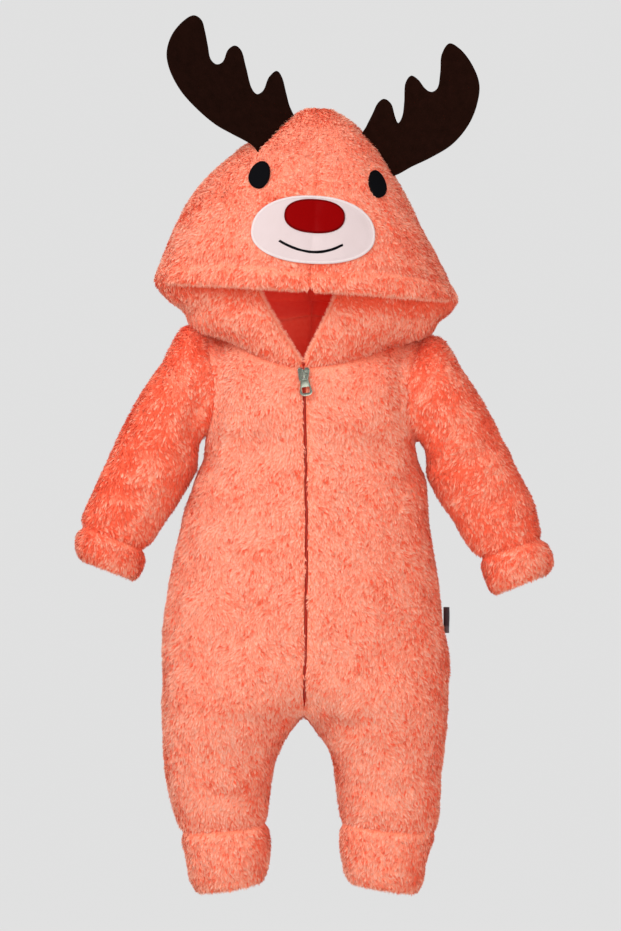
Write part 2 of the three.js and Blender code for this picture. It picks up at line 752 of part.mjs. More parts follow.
function addMouth() {
  const bendX = 2 * mouth.midX - (mouth.leftX + mouth.rightX) / 2;
  const bendZ = 2 * mouth.midZ - (mouth.leftZ + mouth.rightZ) / 2;
  const curve = new THREE.QuadraticBezierCurve3(
    point(mouth.leftX, 0, mouth.leftZ), point(bendX, 0, bendZ), point(mouth.rightX, 0, mouth.rightZ),
  );
  const places = curve.getPoints(mouth.cells).map((p) => onHood(p.x, p.z));
  const frames = places.map(({ p, n }, f) => {
    const before = places[Math.max(0, f - 1)].p;
    const after = places[Math.min(mouth.cells, f + 1)].p;
    return { p, n, a: n.clone().cross(after.clone().sub(before)).normalize() };
  });
  addMesh('mouth', sweep(frames, mouth.half, -mouth.half, mouth.low, mouth.high), materials.mouth);
}

// Solids that are cut or joined
function asSolid(geometry) {
  const bare = geometry.clone();
  bare.deleteAttribute('normal');
  bare.deleteAttribute('uv');
  const merged = mergeVertices(bare, 1e-4);
  const triVerts = new Uint32Array(merged.index.array);
  const vertProperties = new Float32Array(merged.attributes.position.array);
  return new wasm.Manifold(new wasm.Mesh({ numProp: 3, vertProperties, triVerts }));
}

function asGeometry(solid) {
  const mesh = solid.getMesh();
  const geometry = new THREE.BufferGeometry();
  geometry.setAttribute('position', new THREE.Float32BufferAttribute(mesh.vertProperties, 3));
  geometry.setIndex([...mesh.triVerts]);
  geometry.computeVertexNormals();
  return geometry;
}

function largest(solid) {
  return solid.decompose().sort((a, b) => b.volume() - a.volume())[0];
}

function addAntler(side) {
  const { plane, outline } = antlers[side.name];
  const curve = new THREE.CatmullRomCurve3(outline.map(([x, z]) => point(x, z, 0)), true, 'centripetal');
  const corners = curve.getSpacedPoints(antlerSteps).slice(0, -1);
  const shape = new THREE.Shape(corners.map((p) => new THREE.Vector2(p.x, p.y)));
  const geometry = new THREE.ExtrudeGeometry(shape, { depth: antlerThick, bevelEnabled: false });
  const places = geometry.attributes.position;
  for (let i = 0; i < places.count; i += 1) {
    const x = places.getX(i);
    const z = places.getY(i);
    const lean = plane.yaw * (x - plane.x) + plane.pitch * (z - plane.z);
    places.setXYZ(i, x, plane.y + lean + antlerThick - places.getZ(i), z);
  }
  const hood = asSolid(closedWall(`hood_${side.name}`, skinNormal, 0.35, wall + 6));
  addMesh(`antler_${side.name}`, asGeometry(largest(asSolid(geometry).subtract(hood))), felt);
}

// Frames down the zip, at the front panels' own points between two heights
function zipFrames(topZ, bottomZ) {
  const ids = new Set(skin.pieces.get('front_left').flat());
  const line = [...ids]
    .filter((id) => Math.abs(skin.points[id].x - centreX(skin.points[id].z)) < 0.5 && skin.points[id].y < -20)
    .map((id) => ({ p: skin.points[id], n: skinNormal[id] }))
    .sort((a, b) => b.p.z - a.p.z);
  const at = (z) => {
    const low = line.findIndex(({ p }) => p.z < z);
    const share = (line[low - 1].p.z - z) / (line[low - 1].p.z - line[low].p.z);
    const p = line[low - 1].p.clone().lerp(line[low].p, share);
    return { p, n: line[low - 1].n.clone().lerp(line[low].n, share).normalize() };
  };
  const between = line.filter(({ p }) => p.z < topZ - 1 && p.z > bottomZ + 1);
  return [at(topZ), ...between, at(bottomZ)].map(({ p, n }) => ({ p, n, a: point(1, 0, 0) }));
}

function addZip() {
  const bottom = plate.halfLength + 0.6;
  const chainFrames = zipFrames(sliderZ - bottom, zipEndZ + 1.5);
  addMesh('zip_chain', sweep(chainFrames, chain.half, -chain.half, chain.low, chain.high), materials.tape);
  const tapeFrames = zipFrames(sliderZ - bottom, zipEndZ - 6);
  addMesh('zip_tape_left', sweep(tapeFrames, -tape.inner, -tape.outer, tape.low, tape.high), materials.tape);
  addMesh('zip_tape_right', sweep(tapeFrames, tape.outer, tape.inner, tape.low, tape.high), materials.tape);
  const [top, low] = zipFrames(sliderZ, sliderZ - 12);
  const seat = new THREE.Group();
  seat.position.copy(top.p);
  seat.rotation.x = Math.atan2(low.p.y - top.p.y, top.p.z - low.p.z);
  group.add(seat);
  addMesh('zip_slider', sliderGeometry(), materials.metal, seat);
  const hang = new THREE.Group();
  hang.position.set(0, -(plate.high + arch.under) / 2, 0);
  hang.rotation.y = -degrees(pullTilt);
  seat.add(hang);
  addMesh('zip_pull', pullGeometry(), materials.metal, hang);
}

// An outline in the seat's X and Z, thick from one distance out to another
function slab(shape, low, high, curveSegments = 6) {
  const settings = { depth: high - low, bevelEnabled: false, curveSegments };
  const geometry = new THREE.ExtrudeGeometry(shape, settings);
  geometry.rotateX(Math.PI / 2);
  geometry.translate(0, -low, 0);
  return geometry;
}

function plateShape({ topHalf, bottomHalf, halfLength }) {
  const corner = 1.6;
  const shape = new THREE.Shape();
  shape.moveTo(-bottomHalf + corner, -halfLength);
  shape.lineTo(bottomHalf - corner, -halfLength);
  shape.quadraticCurveTo(bottomHalf, -halfLength, bottomHalf, -halfLength + corner);
  shape.lineTo(topHalf, halfLength - 2 * corner);
  shape.quadraticCurveTo(topHalf, halfLength, topHalf - 2 * corner, halfLength);
  shape.lineTo(corner, halfLength);
  shape.lineTo(0, halfLength - corner);
  shape.lineTo(-corner, halfLength);
  shape.lineTo(-topHalf + 2 * corner, halfLength);
  shape.quadraticCurveTo(-topHalf, halfLength, -topHalf, halfLength - 2 * corner);
  shape.lineTo(-bottomHalf, -halfLength + corner);
  shape.quadraticCurveTo(-bottomHalf, -halfLength, -bottomHalf + corner, -halfLength);
  return shape;
}

function rectangle(left, bottom, right, top) {
  const corners = [[left, bottom], [right, bottom], [right, top], [left, top]];
  return new THREE.Shape(corners.map(([x, y]) => new THREE.Vector2(x, y)));
}

function sliderGeometry() {
  const side = new THREE.Shape([
    [-arch.outer, plate.high - 0.3], [-arch.outer, arch.top - 0.8], [-arch.outer + 0.8, arch.top],
    [arch.outer - 0.8, arch.top], [arch.outer, arch.top - 0.8], [arch.outer, plate.high - 0.3],
    [arch.inner, plate.high - 0.3], [arch.inner, arch.under],
    [-arch.inner, arch.under], [-arch.inner, plate.high - 0.3],
  ].map(([x, y]) => new THREE.Vector2(x, y)));
  const loop = new THREE.ExtrudeGeometry(side, { depth: 2 * arch.half, bevelEnabled: false });
  loop.translate(0, 0, -arch.half);
  loop.applyMatrix4(new THREE.Matrix4().set(0, 0, 1, 0, 0, -1, 0, 0, 1, 0, 0, 0, 0, 0, 0, 1));
  const pieces = [
    slab(plateShape(plate), plate.low, plate.high),
    slab(plateShape(backPlate), backPlate.low, backPlate.high),
    slab(
      rectangle(-post.half, post.bottom, post.half, post.top - 1.5),
      backPlate.low + 0.2, plate.high - 0.2,
    ),
    loop,
  ];
  return asGeometry(pieces.map(asSolid).reduce((whole, piece) => whole.add(piece)));
}

function pullGeometry() {
  const { bar, topHalf, neckHalf, endHalf, end, eyeHalf, eyeEnd, thick } = pull;
  const shape = new THREE.Shape();
  shape.moveTo(-topHalf, bar);
  shape.lineTo(-neckHalf, -eyeEnd - 1);
  shape.lineTo(-endHalf, -end + 4.5);
  shape.bezierCurveTo(-endHalf - 0.3, -end + 1, -endHalf + 2.5, -end, 0, -end);
  shape.bezierCurveTo(endHalf - 2.5, -end, endHalf + 0.3, -end + 1, endHalf, -end + 4.5);
  shape.lineTo(neckHalf, -eyeEnd - 1);
  shape.lineTo(topHalf, bar);
  shape.holes.push(rectangle(-eyeHalf, -eyeEnd, eyeHalf, -bar));
  const hole = new THREE.Path();
  hole.moveTo(-pullWindow.half + 1, -pullWindow.top);
  hole.lineTo(pullWindow.half - 1, -pullWindow.top);
  hole.quadraticCurveTo(pullWindow.half, -pullWindow.top, pullWindow.half, -pullWindow.top - 1);
  hole.lineTo(pullWindow.half, -pullWindow.bottom + 2);
  hole.quadraticCurveTo(pullWindow.half, -pullWindow.bottom, pullWindow.half - 2, -pullWindow.bottom);
  hole.lineTo(-pullWindow.half + 2, -pullWindow.bottom);
  hole.quadraticCurveTo(-pullWindow.half, -pullWindow.bottom, -pullWindow.half, -pullWindow.bottom + 2);
  hole.lineTo(-pullWindow.half, -pullWindow.top - 1);
  shape.holes.push(hole);
  return slab(shape, -thick / 2, thick / 2);
}

// A folded tag in the right side seam, reaching out and a little to the front
function addLabel() {
  const seam = (z) => {
    const low = bodyRows.findIndex((row) => row.z < z);
    const share = (bodyRows[low - 1].z - z) / (bodyRows[low - 1].z - bodyRows[low].z);
    return lerp(bodyRows[low - 1].right, bodyRows[low].right, share);
  };
  const out = point(1, -label.forward, 0).normalize();
  const frames = [label.topZ, (label.topZ + label.bottomZ) / 2, label.bottomZ].map((z) => ({
    p: point(seam(z) + 1, -0.2, z),
    n: out,
    a: point(-out.y, out.x, 0),
  }));
  addMesh('side_label', sweep(frames, label.thick / 2, -label.thick / 2, 0, label.reach), materials.label);
}

facePatches.forEach(addFacePatch);
addMouth();
sides.forEach(addAntler);
addZip();
addLabel();

export default group;
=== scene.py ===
import math

import bmesh
import bpy
import numpy as np
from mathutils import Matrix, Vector, noise
from mathutils.bvhtree import BVHTree
from mathutils.kdtree import KDTree


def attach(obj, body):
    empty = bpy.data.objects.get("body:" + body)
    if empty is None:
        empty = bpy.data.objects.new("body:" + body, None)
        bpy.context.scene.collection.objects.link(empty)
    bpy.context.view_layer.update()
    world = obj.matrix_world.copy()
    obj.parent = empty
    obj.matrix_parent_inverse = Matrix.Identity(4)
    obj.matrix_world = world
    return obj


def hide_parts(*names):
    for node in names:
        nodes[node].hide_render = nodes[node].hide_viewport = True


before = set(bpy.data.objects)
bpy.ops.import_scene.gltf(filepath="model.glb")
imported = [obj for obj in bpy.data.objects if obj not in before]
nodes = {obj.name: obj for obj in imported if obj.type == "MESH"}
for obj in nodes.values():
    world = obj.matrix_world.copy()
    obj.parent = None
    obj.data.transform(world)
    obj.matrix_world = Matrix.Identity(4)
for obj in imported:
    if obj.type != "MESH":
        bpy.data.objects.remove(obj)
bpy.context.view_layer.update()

MM = 0.001

# The fleece wall: the longest fibres' tips at depth 0, the dense pile below them, and the inside
WALL = 7.0
DENSE = 2.2
INSIDE = 6.9
SUBDIVISIONS = 2              # of a fleece wall's skin

# The brim's level on the face's centre line, and how much it drops per millimetre to the right
BRIM_Z = 54.0
BRIM_LEAN = 0.06


def table(columns, rows):
    """Each row's values under the columns' names."""
    return {name: dict(zip(columns.split(), row)) for name, row in rows.items()}


# Each cloth piece's flat cut in metres, the cut's area, how many loose fibres the piece has, and
# how much lighter or redder its nap lies
FLEECE = table("width length area fibres tone", {
    "front_left": (0.25, 0.50, 0.085, 118000, 0.06),
    "front_right": (0.25, 0.50, 0.085, 118000, 0.04),
    "back_left": (0.25, 0.53, 0.088, 70000, 0.0),
    "back_right": (0.25, 0.53, 0.088, 70000, 0.0),
    "sleeve_left": (0.26, 0.23, 0.045, 54000, -0.5),
    "sleeve_right": (0.26, 0.23, 0.045, 54000, -0.46),
    "sleeve_cuff_left": (0.22, 0.035, 0.007, 13000, -0.3),
    "sleeve_cuff_right": (0.22, 0.04, 0.008, 13000, -0.3),
    "leg_cuff_left": (0.27, 0.06, 0.015, 19000, 0.0),
    "leg_cuff_right": (0.27, 0.06, 0.015, 19000, -0.05),
    "hood_left": (0.30, 0.36, 0.09, 116000, -0.2),
    "hood_right": (0.30, 0.36, 0.09, 116000, -0.2),
})


def unit(vectors):
    length = np.linalg.norm(vectors, axis=-1, keepdims=True)
    return vectors / np.maximum(length, 1e-9)


def lerp(a, b, share):
    return a + (b - a) * share


# Meshes

def placed(name, data):
    """An object made of some data, linked into the scene."""
    made = bpy.data.objects.new(name, data)
    bpy.context.scene.collection.objects.link(made)
    return made


def add_mesh(name, points, faces, materials, smooth=True):
    """A mesh object from points in millimetres."""
    mesh = bpy.data.meshes.new(name)
    mesh.from_pydata((np.asarray(points) * MM).tolist(), [], [list(map(int, face)) for face in faces])
    for material in materials:
        mesh.materials.append(material)
    if smooth:
        mesh.shade_smooth()
    return placed(name, mesh)


def tube_faces(rows, width, first=0):
    """Quads between rows of points, each row a closed loop."""
    faces = []
    for start in range(first, first + (rows - 1) * width, width):
        for column in range(width):
            a, b = start + column, start + (column + 1) % width
            faces.append((a, a + width, b + width, b))
    return faces


def end_faces(rows, width):
    """The faces that close the first row and the last."""
    return [list(range(width)), list(reversed(range((rows - 1) * width, rows * width)))]


def tree_of(points):
    tree = KDTree(len(points))
    for at, point in enumerate(points):
        tree.insert(point, at)
    tree.balance()
    return tree


def declare(piece, replaces=(), body="garment"):
    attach(piece, body)
    if replaces:
        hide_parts(*replaces)
    return piece


# The skin of a fleece piece, read from its solid wall

def welded(name):
    bm = bmesh.new()
    bm.from_mesh(nodes[name].data)
    bmesh.ops.remove_doubles(bm, verts=bm.verts, dist=1e-5)
    bm.verts.index_update()
    bm.normal_update()
    return bm


def is_rung(edge):
    """An edge of the side wall that runs straight through the thickness."""
    if abs(edge.calc_length() / MM - WALL) > 0.001:
        return False
    a, b = edge.verts
    along = (b.co - a.co).normalized()
    return a.normal.dot(along) < 0.05 and b.normal.dot(along) > -0.05


def islands(faces):
    left = set(faces)
    found = []
    for seed in faces:
        if seed not in left:
            continue
        left.remove(seed)
        island, front = [seed], [seed]
        while front:
            face = front.pop()
            for edge in face.edges:
                for other in edge.link_faces:
                    if other in left:
                        left.remove(other)
                        island.append(other)
                        front.append(other)
        found.append(island)
    return found


def corners_of(faces):
    """The vertices of some faces, in the order of their numbers."""
    return sorted({vert for face in faces for vert in face.verts}, key=lambda vert: vert.index)


def wall_sheets(name):
    """The outer sheet of a wall as points and quads, with the point of the inner sheet behind each."""
    bm = welded(name)
    rungs = [edge for edge in bm.edges if is_rung(edge)]
    side_faces = {face for edge in rungs for face in edge.link_faces}
    sheets = islands([face for face in bm.faces if face not in side_faces])
    sheets.sort(key=lambda sheet: -sum(face.calc_area() for face in sheet))
    outer, inner = sheets[0], sheets[1]
    inner_verts = corners_of(inner)
    tree = tree_of([vert.co for vert in inner_verts])
    is_inner = set(inner_verts)
    mates = {}
    for edge in rungs:
        for vert in edge.verts:
            if vert not in is_inner:
                mates[vert] = edge.other_vert(vert).co
    used = corners_of(outer)
    for vert in used:
        if vert not in mates:
            normal = sum((face.normal * face.calc_area() for face in vert.link_faces), Vector())
            mates[vert] = mate_behind(vert.co, normal.normalized(), tree)
    place = {vert: at for at, vert in enumerate(used)}
    points = np.array([vert.co for vert in used]) / MM
    behind = np.array([mates[vert] for vert in used]) / MM
    triangles = [[place[vert] for vert in face.verts] for face in outer]
    bm.free()
    return points, behind, as_quads(points, triangles)


def mate_behind(point, normal, tree):
    near = tree.find_range(point, (WALL + 0.01) * MM)
    aligned = [
        (normal.dot((co - point).normalized()), co)
        for co, _, distance in near
        if distance > (WALL - 0.01) * MM
    ]
    best = min(aligned, key=lambda pair: pair[0]) if aligned else (0, None)
    return best[1] if best[0] < -0.6 else point - normal * WALL * MM


def as_quads(points, triangles):
    bm = bmesh.new()
    verts = [bm.verts.new(point) for point in points]
    for triangle in triangles:
        bm.faces.new([verts[at] for at in triangle])
    bm.verts.index_update()
    bm.normal_update()
    limit = math.radians(70)
    bmesh.ops.join_triangles(
        bm, faces=bm.faces, angle_face_threshold=limit, angle_shape_threshold=limit
    )
    faces = [[vert.index for vert in face.verts] for face in bm.faces]
    bm.free()
    return faces


def subdivided(points, faces):
    """Catmull-Clark points and quads. Their order depends on the faces alone."""
    mesh = bpy.data.meshes.new("work")
    mesh.from_pydata(points.tolist(), [], faces)
    piece = placed("work", mesh)
    modifier = piece.modifiers.new("smooth", "SUBSURF")
    modifier.levels = SUBDIVISIONS
    modifier.boundary_smooth = "PRESERVE_CORNERS"
    graph = bpy.context.evaluated_depsgraph_get()
    result = piece.evaluated_get(graph).to_mesh()
    count = len(result.vertices)
    co = np.empty(count * 3)
    result.vertices.foreach_get("co", co)
    quads = np.array([list(polygon.vertices) for polygon in result.polygons])
    piece.evaluated_get(graph).to_mesh_clear()
    bpy.data.objects.remove(piece)
    bpy.data.meshes.remove(mesh)
    return co.reshape(-1, 3), quads


def border_edges(quads):
    edges = np.concatenate([quads[:, [k, (k + 1) % 4]] for k in range(4)])
    key = np.sort(edges, axis=1)
    _, first, uses = np.unique(key, axis=0, return_index=True, return_counts=True)
    return edges[first[uses == 1]]


def read_skins():
    skins = {}
    for name in FLEECE:
        points, behind, faces = wall_sheets(name)
        outer, quads = subdivided(points, faces)
        inner, _ = subdivided(behind, faces)
        skins[name] = {"outer": outer, "inner": inner, "quads": quads, "border": border_edges(quads)}
    return skins


# Creases and folds, each a soft trough or ridge along a line: the side that it is seen from, its
# depth inward, the half width of its hollow, and the line's corners in X and Z
CREASES = [
    ("front", 5, 7, [(-108, -55), (-116, -84), (-122, -112)]),
    ("front", 2.5, 8, [(-62, -150), (-92, -128), (-106, -104)]),
    ("front", 5, 7, [(124, -70), (133, -92), (137, -112)]),
    ("front", 2.5, 8, [(86, -150), (106, -128), (117, -104)]),
    ("front", 3, 8, [(-170, -90), (-150, -110), (-128, -118)]),
    ("front", 2.5, 7, [(-196, -140), (-176, -150), (-160, -150)]),
    ("front", 3, 8, [(190, -92), (168, -112), (142, -122)]),
    ("front", 2.5, 7, [(214, -142), (190, -156), (170, -160)]),
    ("front", 3, 9, [(-8, -372), (-40, -380), (-74, -372)]),
    ("front", 3, 9, [(8, -374), (36, -382), (70, -370)]),
    ("front", 2.5, 8, [(-44, -440), (-70, -452), (-104, -446)]),
    ("front", 2.5, 8, [(42, -438), (76, -448), (112, -440)]),
    ("front", 2.8, 4, [(58, 76), (84, 74), (106, 72), (124, 67), (140, 63)]),
    ("front", 2.2, 4, [(-142, 80), (-110, 83), (-60, 82), (0, 73), (50, 74)]),
    ("front", -2, 8, [(-150, 67), (-60, 68), (0, 61), (60, 61), (144, 51)]),
    ("both", -5.5, 17, [(-8, 234), (6, 236), (30, 230)]),
    ("both", -8, 12, [(-126, 0), (-114, 14), (-92, 14)]),
    ("both", -5.5, 11, [(96, 4), (112, 6), (126, 4), (138, -6)]),
    ("front", 1.6, 5, [(14, 224), (22, 206), (36, 192)]),
    ("both", -3, 5, [(-10, -362), (0, -368), (12, -372)]),
    ("front", 2, 6, [(22, -350), (30, -372), (44, -388)]),
    ("back", 3, 9, [(-106, -100), (-84, -132), (-50, -150)]),
    ("back", 3, 9, [(114, -104), (92, -134), (60, -152)]),
    ("back", 4, 10, [(-10, -360), (-50, -372), (-96, -358)]),
    ("back", 4, 10, [(10, -362), (48, -374), (92, -360)]),
    ("back", 2.5, 10, [(-70, -30), (0, -44), (66, -36)]),
]


def line_distance(points, line):
    """Distance in XZ from points to a polyline, and how far along it the nearest place is, 0 to 1."""
    best = np.full(len(points), np.inf)
    along = np.zeros(len(points))
    corners = np.array(line, float)
    steps = np.linalg.norm(np.diff(corners, axis=0), axis=1)
    total, before = steps.sum(), 0.0
    for start, end, step in zip(corners[:-1], corners[1:], steps):
        share = np.clip(((points - start) @ (end - start)) / step**2, 0, 1)
        distance = np.linalg.norm(points - (start + share[:, None] * (end - start)), axis=1)
        nearer = distance < best
        best = np.where(nearer, distance, best)
        along = np.where(nearer, (before + share * step) / total, along)
        before += step
    return best, along


def crease_relief(points):
    relief = np.zeros(len(points))
    sides = {"front": points[:, 1] < 6, "back": points[:, 1] > -6, "both": True}
    for side, depth, width, line in CREASES:
        distance, along = line_distance(points[:, [0, 2]], line)
        fade = np.sin(np.pi * np.clip(0.08 + 0.84 * along, 0, 1)) ** 0.7
        hollow = np.exp(-((distance / width) ** 2))
        shoulder = np.exp(-(((distance - 1.9 * width) / width) ** 2))
        relief += sides[side] * fade * depth * (0.35 * shoulder - hollow)
    return relief


def soft_noise(points, scale, seed):
    """Smooth noise, about -1 to 1, with features of a scale in millimetres."""
    offset = Vector((seed * 17.3, seed * 5.1, seed * 9.7))
    return np.array([noise.noise(Vector(point) / scale + offset) for point in points])


SEAM_GAP = 1.0                # two edges nearer than this are sewn together
EDGE_GAP = 3.6                # and nearer than this, as at the zip, they lie side by side
SEAM_DEPTH = 1.6              # how far the cloth is drawn in at a seam
SEAM_WIDTH = 5.0
UNEVEN = [(42, 1.6), (17, 0.8)]  # the size of the cloth's soft unevenness, and its height


def nearest_on_edges(points, starts, ends):
    """For each point the nearest edge, the share along it and the distance to it."""
    way = ends - starts
    size = np.maximum((way**2).sum(1), 1e-9)
    edge, share, distance = [], [], []
    for point in points:
        along = np.clip(((point - starts) * way).sum(1) / size, 0, 1)
        gap = np.linalg.norm(starts + way * along[:, None] - point, axis=1)
        best = int(gap.argmin())
        edge.append(best)
        share.append(along[best])
        distance.append(gap[best])
    return np.array(edge), np.array(share)[:, None], np.array(distance)


def meet_seams(skins):
    """Closes the gaps between sewn edges, and lists each piece's border points near another."""
    moves, near = [], {}
    for name, skin in skins.items():
        others = [other for key, other in skins.items() if key != name]
        a, b = (
            {side: np.concatenate([other[side][other["border"][:, end]] for other in others])
             for side in ("outer", "inner")}
            for end in (0, 1)
        )
        ids = np.unique(skin["border"])
        edge, share, distance = nearest_on_edges(skin["outer"][ids], a["outer"], b["outer"])
        near[name] = ids[distance < EDGE_GAP].tolist()
        sewn = distance < SEAM_GAP
        for side in ("outer", "inner"):
            mate = lerp(a[side][edge], b[side][edge], share)[sewn]
            moves.append((skin, side, ids[sewn], (skin[side][ids[sewn]] + mate) / 2))
    for skin, side, ids, places in moves:
        skin[side][ids] = places
    return near


def seam_distance(skin, on_seam):
    if not on_seam:
        return np.full(len(skin["outer"]), 99.0)
    tree = tree_of(skin["outer"][on_seam])
    return np.array([tree.find(point)[2] for point in skin["outer"]])


def shape_skins(skins):
    seams = meet_seams(skins)
    for name, skin in skins.items():
        out = unit(skin["outer"] - skin["inner"])
        skin["seam"] = seam_distance(skin, seams[name])
        relief = crease_relief(skin["outer"])
        for seed, (scale, height) in enumerate(UNEVEN, 1):
            relief += height * soft_noise(skin["outer"], scale, seed)
        relief -= SEAM_DEPTH * np.exp(-((skin["seam"] / SEAM_WIDTH) ** 2))
        skin["out"] = out
        skin["outer"] = skin["outer"] + out * relief[:, None]
        skin["inner"] = skin["inner"] + out * relief[:, None]
        # The pile's tone holds the nap's patches and each piece's tint, together with painted shade
        # and painted light
        skin["tone"] = tone_at(skin["outer"], out) + FLEECE[name]["tone"]
        if name.startswith("hood"):
            skin["tone"] += hood_light_and_shade(skin["outer"], out)
        if name.startswith("sleeve"):
            skin["tone"] += sleeve_tone_and_shade(out)
    return skins


# Materials

def fill(made, inputs):
    """Sets a node's inputs, or links them to sockets."""
    for key, value in inputs.items():
        if isinstance(value, bpy.types.NodeSocket):
            made.id_data.links.new(value, made.inputs[key])
        else:
            made.inputs[key].default_value = value


def make_material(name, look):
    """A material; look builds its nodes and gives the shader's inputs."""
    material = bpy.data.materials.new(name)
    material.use_nodes = True
    fill(material.node_tree.nodes["Principled BSDF"], look(material.node_tree))
    return material


def node(tree, kind, inputs=None, **settings):
    made = tree.nodes.new("ShaderNode" + kind)
    for key, value in settings.items():
        setattr(made, key, value)
    fill(made, inputs or {})
    return made


def ramp(tree, value, stops):
    made = node(tree, "ValToRGB", {"Fac": value})
    elements = made.color_ramp.elements
    while len(elements) < len(stops):
        elements.new(0.5)
    for element, (position, colour) in zip(elements, stops):
        element.position = position
        element.color = (*colour, 1)
    return made.outputs["Color"]


def mix(tree, share, a, b, blend="MIX"):
    made = node(tree, "Mix", data_type="RGBA", blend_type=blend)
    colours = [value if isinstance(value, bpy.types.NodeSocket) else (*value, 1) for value in (a, b)]
    fill(made, {0: share, 6: colours[0], 7: colours[1]})
    return made.outputs[2]


def times(tree, a, b):
    return mix(tree, 1.0, a, b, "MULTIPLY")


def maths(tree, operation, *values):
    return node(tree, "Math", dict(enumerate(values)), operation=operation).outputs["Value"]


def place_of(tree, squeeze=None):
    """The place on the object, which may be squeezed along Z to draw marks out along it."""
    place = node(tree, "TexCoord").outputs["Object"]
    if squeeze is None:
        return place
    return node(tree, "Mapping", {"Vector": place, "Scale": (1, 1, squeeze)}).outputs["Vector"]


def noise_of(tree, scale, detail=3.0, roughness=0.55, squeeze=None):
    inputs = {"Vector": place_of(tree, squeeze), "Scale": scale, "Detail": detail}
    return node(tree, "TexNoise", {**inputs, "Roughness": roughness}).outputs["Fac"]


def waves(tree, direction, scale, distortion=0.0, detail=2.0):
    inputs = {"Vector": place_of(tree), "Scale": scale, "Distortion": distortion, "Detail": detail}
    return node(tree, "TexWave", inputs, bands_direction=direction).outputs["Fac"]


def bump(tree, height, strength, distance):
    inputs = {"Height": height, "Strength": strength, "Distance": distance}
    return node(tree, "Bump", inputs).outputs["Normal"]


# The pile's colours from its roots to its tips, and what they are multiplied by along its tone,
# from the open nap and painted shade, 0, through half open, to the closed nap and painted light, 1
PILE_COLOURS = [(0.0, (0.86, 0.12, 0.05)), (0.5, (1.0, 0.34, 0.21)), (1.0, (1.0, 0.64, 0.49))]
NAP_AND_SHADE_TONES = [(0.0, (0.92, 0.30, 0.21)), (0.5, (0.98, 0.80, 0.74)), (1.0, (1, 1, 1))]


def pile_colour(tree):
    """The pile's colour from the two values kept on the points: root to tip, and a tone of nap with
    painted shade and light.
    """
    attribute = node(tree, "Attribute", attribute_name="pile")
    split = node(tree, "SeparateColor", {"Color": attribute.outputs["Color"]})
    along = ramp(tree, split.outputs["Red"], PILE_COLOURS)
    return times(tree, along, ramp(tree, split.outputs["Green"], NAP_AND_SHADE_TONES))


def fleece_look(colour):
    return {
        "Base Color": colour, "Roughness": 0.9, "Specular IOR Level": 0.1,
        "Sheen Weight": 0.45, "Sheen Roughness": 0.4, "Sheen Tint": (1.0, 0.6, 0.46, 1),
        # Painted glow: a faint red emission stands in for light scattered between the fibres, and
        # keeps their shadows red
        "Emission Color": (1.0, 0.16, 0.07, 1), "Emission Strength": 0.07,
    }


def pile_look(tree):
    return fleece_look(pile_colour(tree))


def dense_look(tree):
    """The dense pile under the loose fibres, with short strokes along the nap."""
    strokes = noise_of(tree, 780.0, 4.0, 0.6, 0.4)
    locks = noise_of(tree, 210.0, 2.0, 0.5, 0.4)
    shade = ramp(tree, strokes, [(0.34, (0.74, 0.56, 0.5)), (0.6, (1, 1, 1))])
    look = fleece_look(times(tree, pile_colour(tree), shade))
    return {**look, "Normal": bump(tree, maths(tree, "ADD", strokes, locks), 0.55, 0.0016)}


def knit_look(tree):
    """The plain knitted back of the fleece, with a faint red painted glow that lifts the shade where
    the inside is seen.
    """
    rows = waves(tree, "Z", 260.0, 1.5, 1.0)
    return {
        "Base Color": mix(tree, noise_of(tree, 240.0), (0.86, 0.10, 0.05), (1.0, 0.17, 0.10)),
        "Roughness": 0.9, "Sheen Weight": 0.2, "Normal": bump(tree, rows, 0.35, 0.0006),
        "Emission Color": (1.0, 0.03, 0.015, 1), "Emission Strength": 0.075,
    }


# Fleece: the cloth with its dense pile, and the loose fibres on it

def at_depth(places, depth):
    return lerp(places["outer"], places["inner"], depth / WALL)


def tone_at(points, out):
    """Where the pile is redder, 0, and paler, 1: soft random patches of nap, and painted shade that
    deepens where the cloth turns to the right, away from the light."""
    patches = 0.3 * soft_noise(points, 26, 5) + 0.3 * soft_noise(points, 9, 6)
    return 0.7 + patches - 0.45 * np.clip(out[:, 0], 0, 1) ** 1.5


def sleeve_tone_and_shade(out):
    """A sleeve is redder where it turns left and paler where it turns right, with painted shade where
    it turns furthest to the right.
    """
    across = out[:, 0]
    return 0.38 * np.clip(across, -0.8, 0.6) - 1.6 * np.clip(across - 0.72, 0, 0.3)


def hood_light_and_shade(points, out):
    """Painted light over the crown, where the hood faces up, and a little where it turns right, and
    painted shade on the cheeks under the brim, deeper towards the right.
    """
    below = BRIM_Z - BRIM_LEAN * points[:, 0] - points[:, 2]
    shaded_cheek = (points[:, 1] < 0) & (below > 0)
    strength = 0.6 + 0.5 * np.clip(points[:, 0] / 60, 0, 1)
    crown_light = 0.5 * np.clip(out[:, 2] - 0.2, 0, 1) + 0.2 * np.clip(out[:, 0], 0, 1)
    return crown_light - shaded_cheek * strength * np.clip(1 - below / 24, 0, 1)


def colour_points(mesh, along, tone):
    ones = np.ones(len(along))
    layer = mesh.color_attributes.new("pile", "FLOAT_COLOR", "POINT")
    colours = np.stack([along, np.clip(tone, 0, 1), 0 * ones, ones], axis=1)
    layer.data.foreach_set("color", colours.ravel().astype(np.float32))


def add_shell(name, skin, materials):
    outside, inside = at_depth(skin, DENSE), at_depth(skin, INSIDE)
    count = len(outside)
    faces = skin["quads"].tolist()
    faces += (skin["quads"][:, ::-1] + count).tolist()
    faces += [[b, a, a + count, b + count] for a, b in skin["border"].tolist()]
    piece = add_mesh(name + "_cloth", np.concatenate([outside, inside]), faces, materials)
    quads = len(skin["quads"])
    slots = np.zeros(len(faces), np.int32)
    slots[quads : 2 * quads] = 1
    piece.data.polygons.foreach_set("material_index", slots)
    along = 0.62 - 0.3 * np.exp(-((skin["seam"] / PRESSED) ** 2))
    colour_points(piece.data, np.tile(along, 2), np.tile(skin["tone"], 2))
    return piece


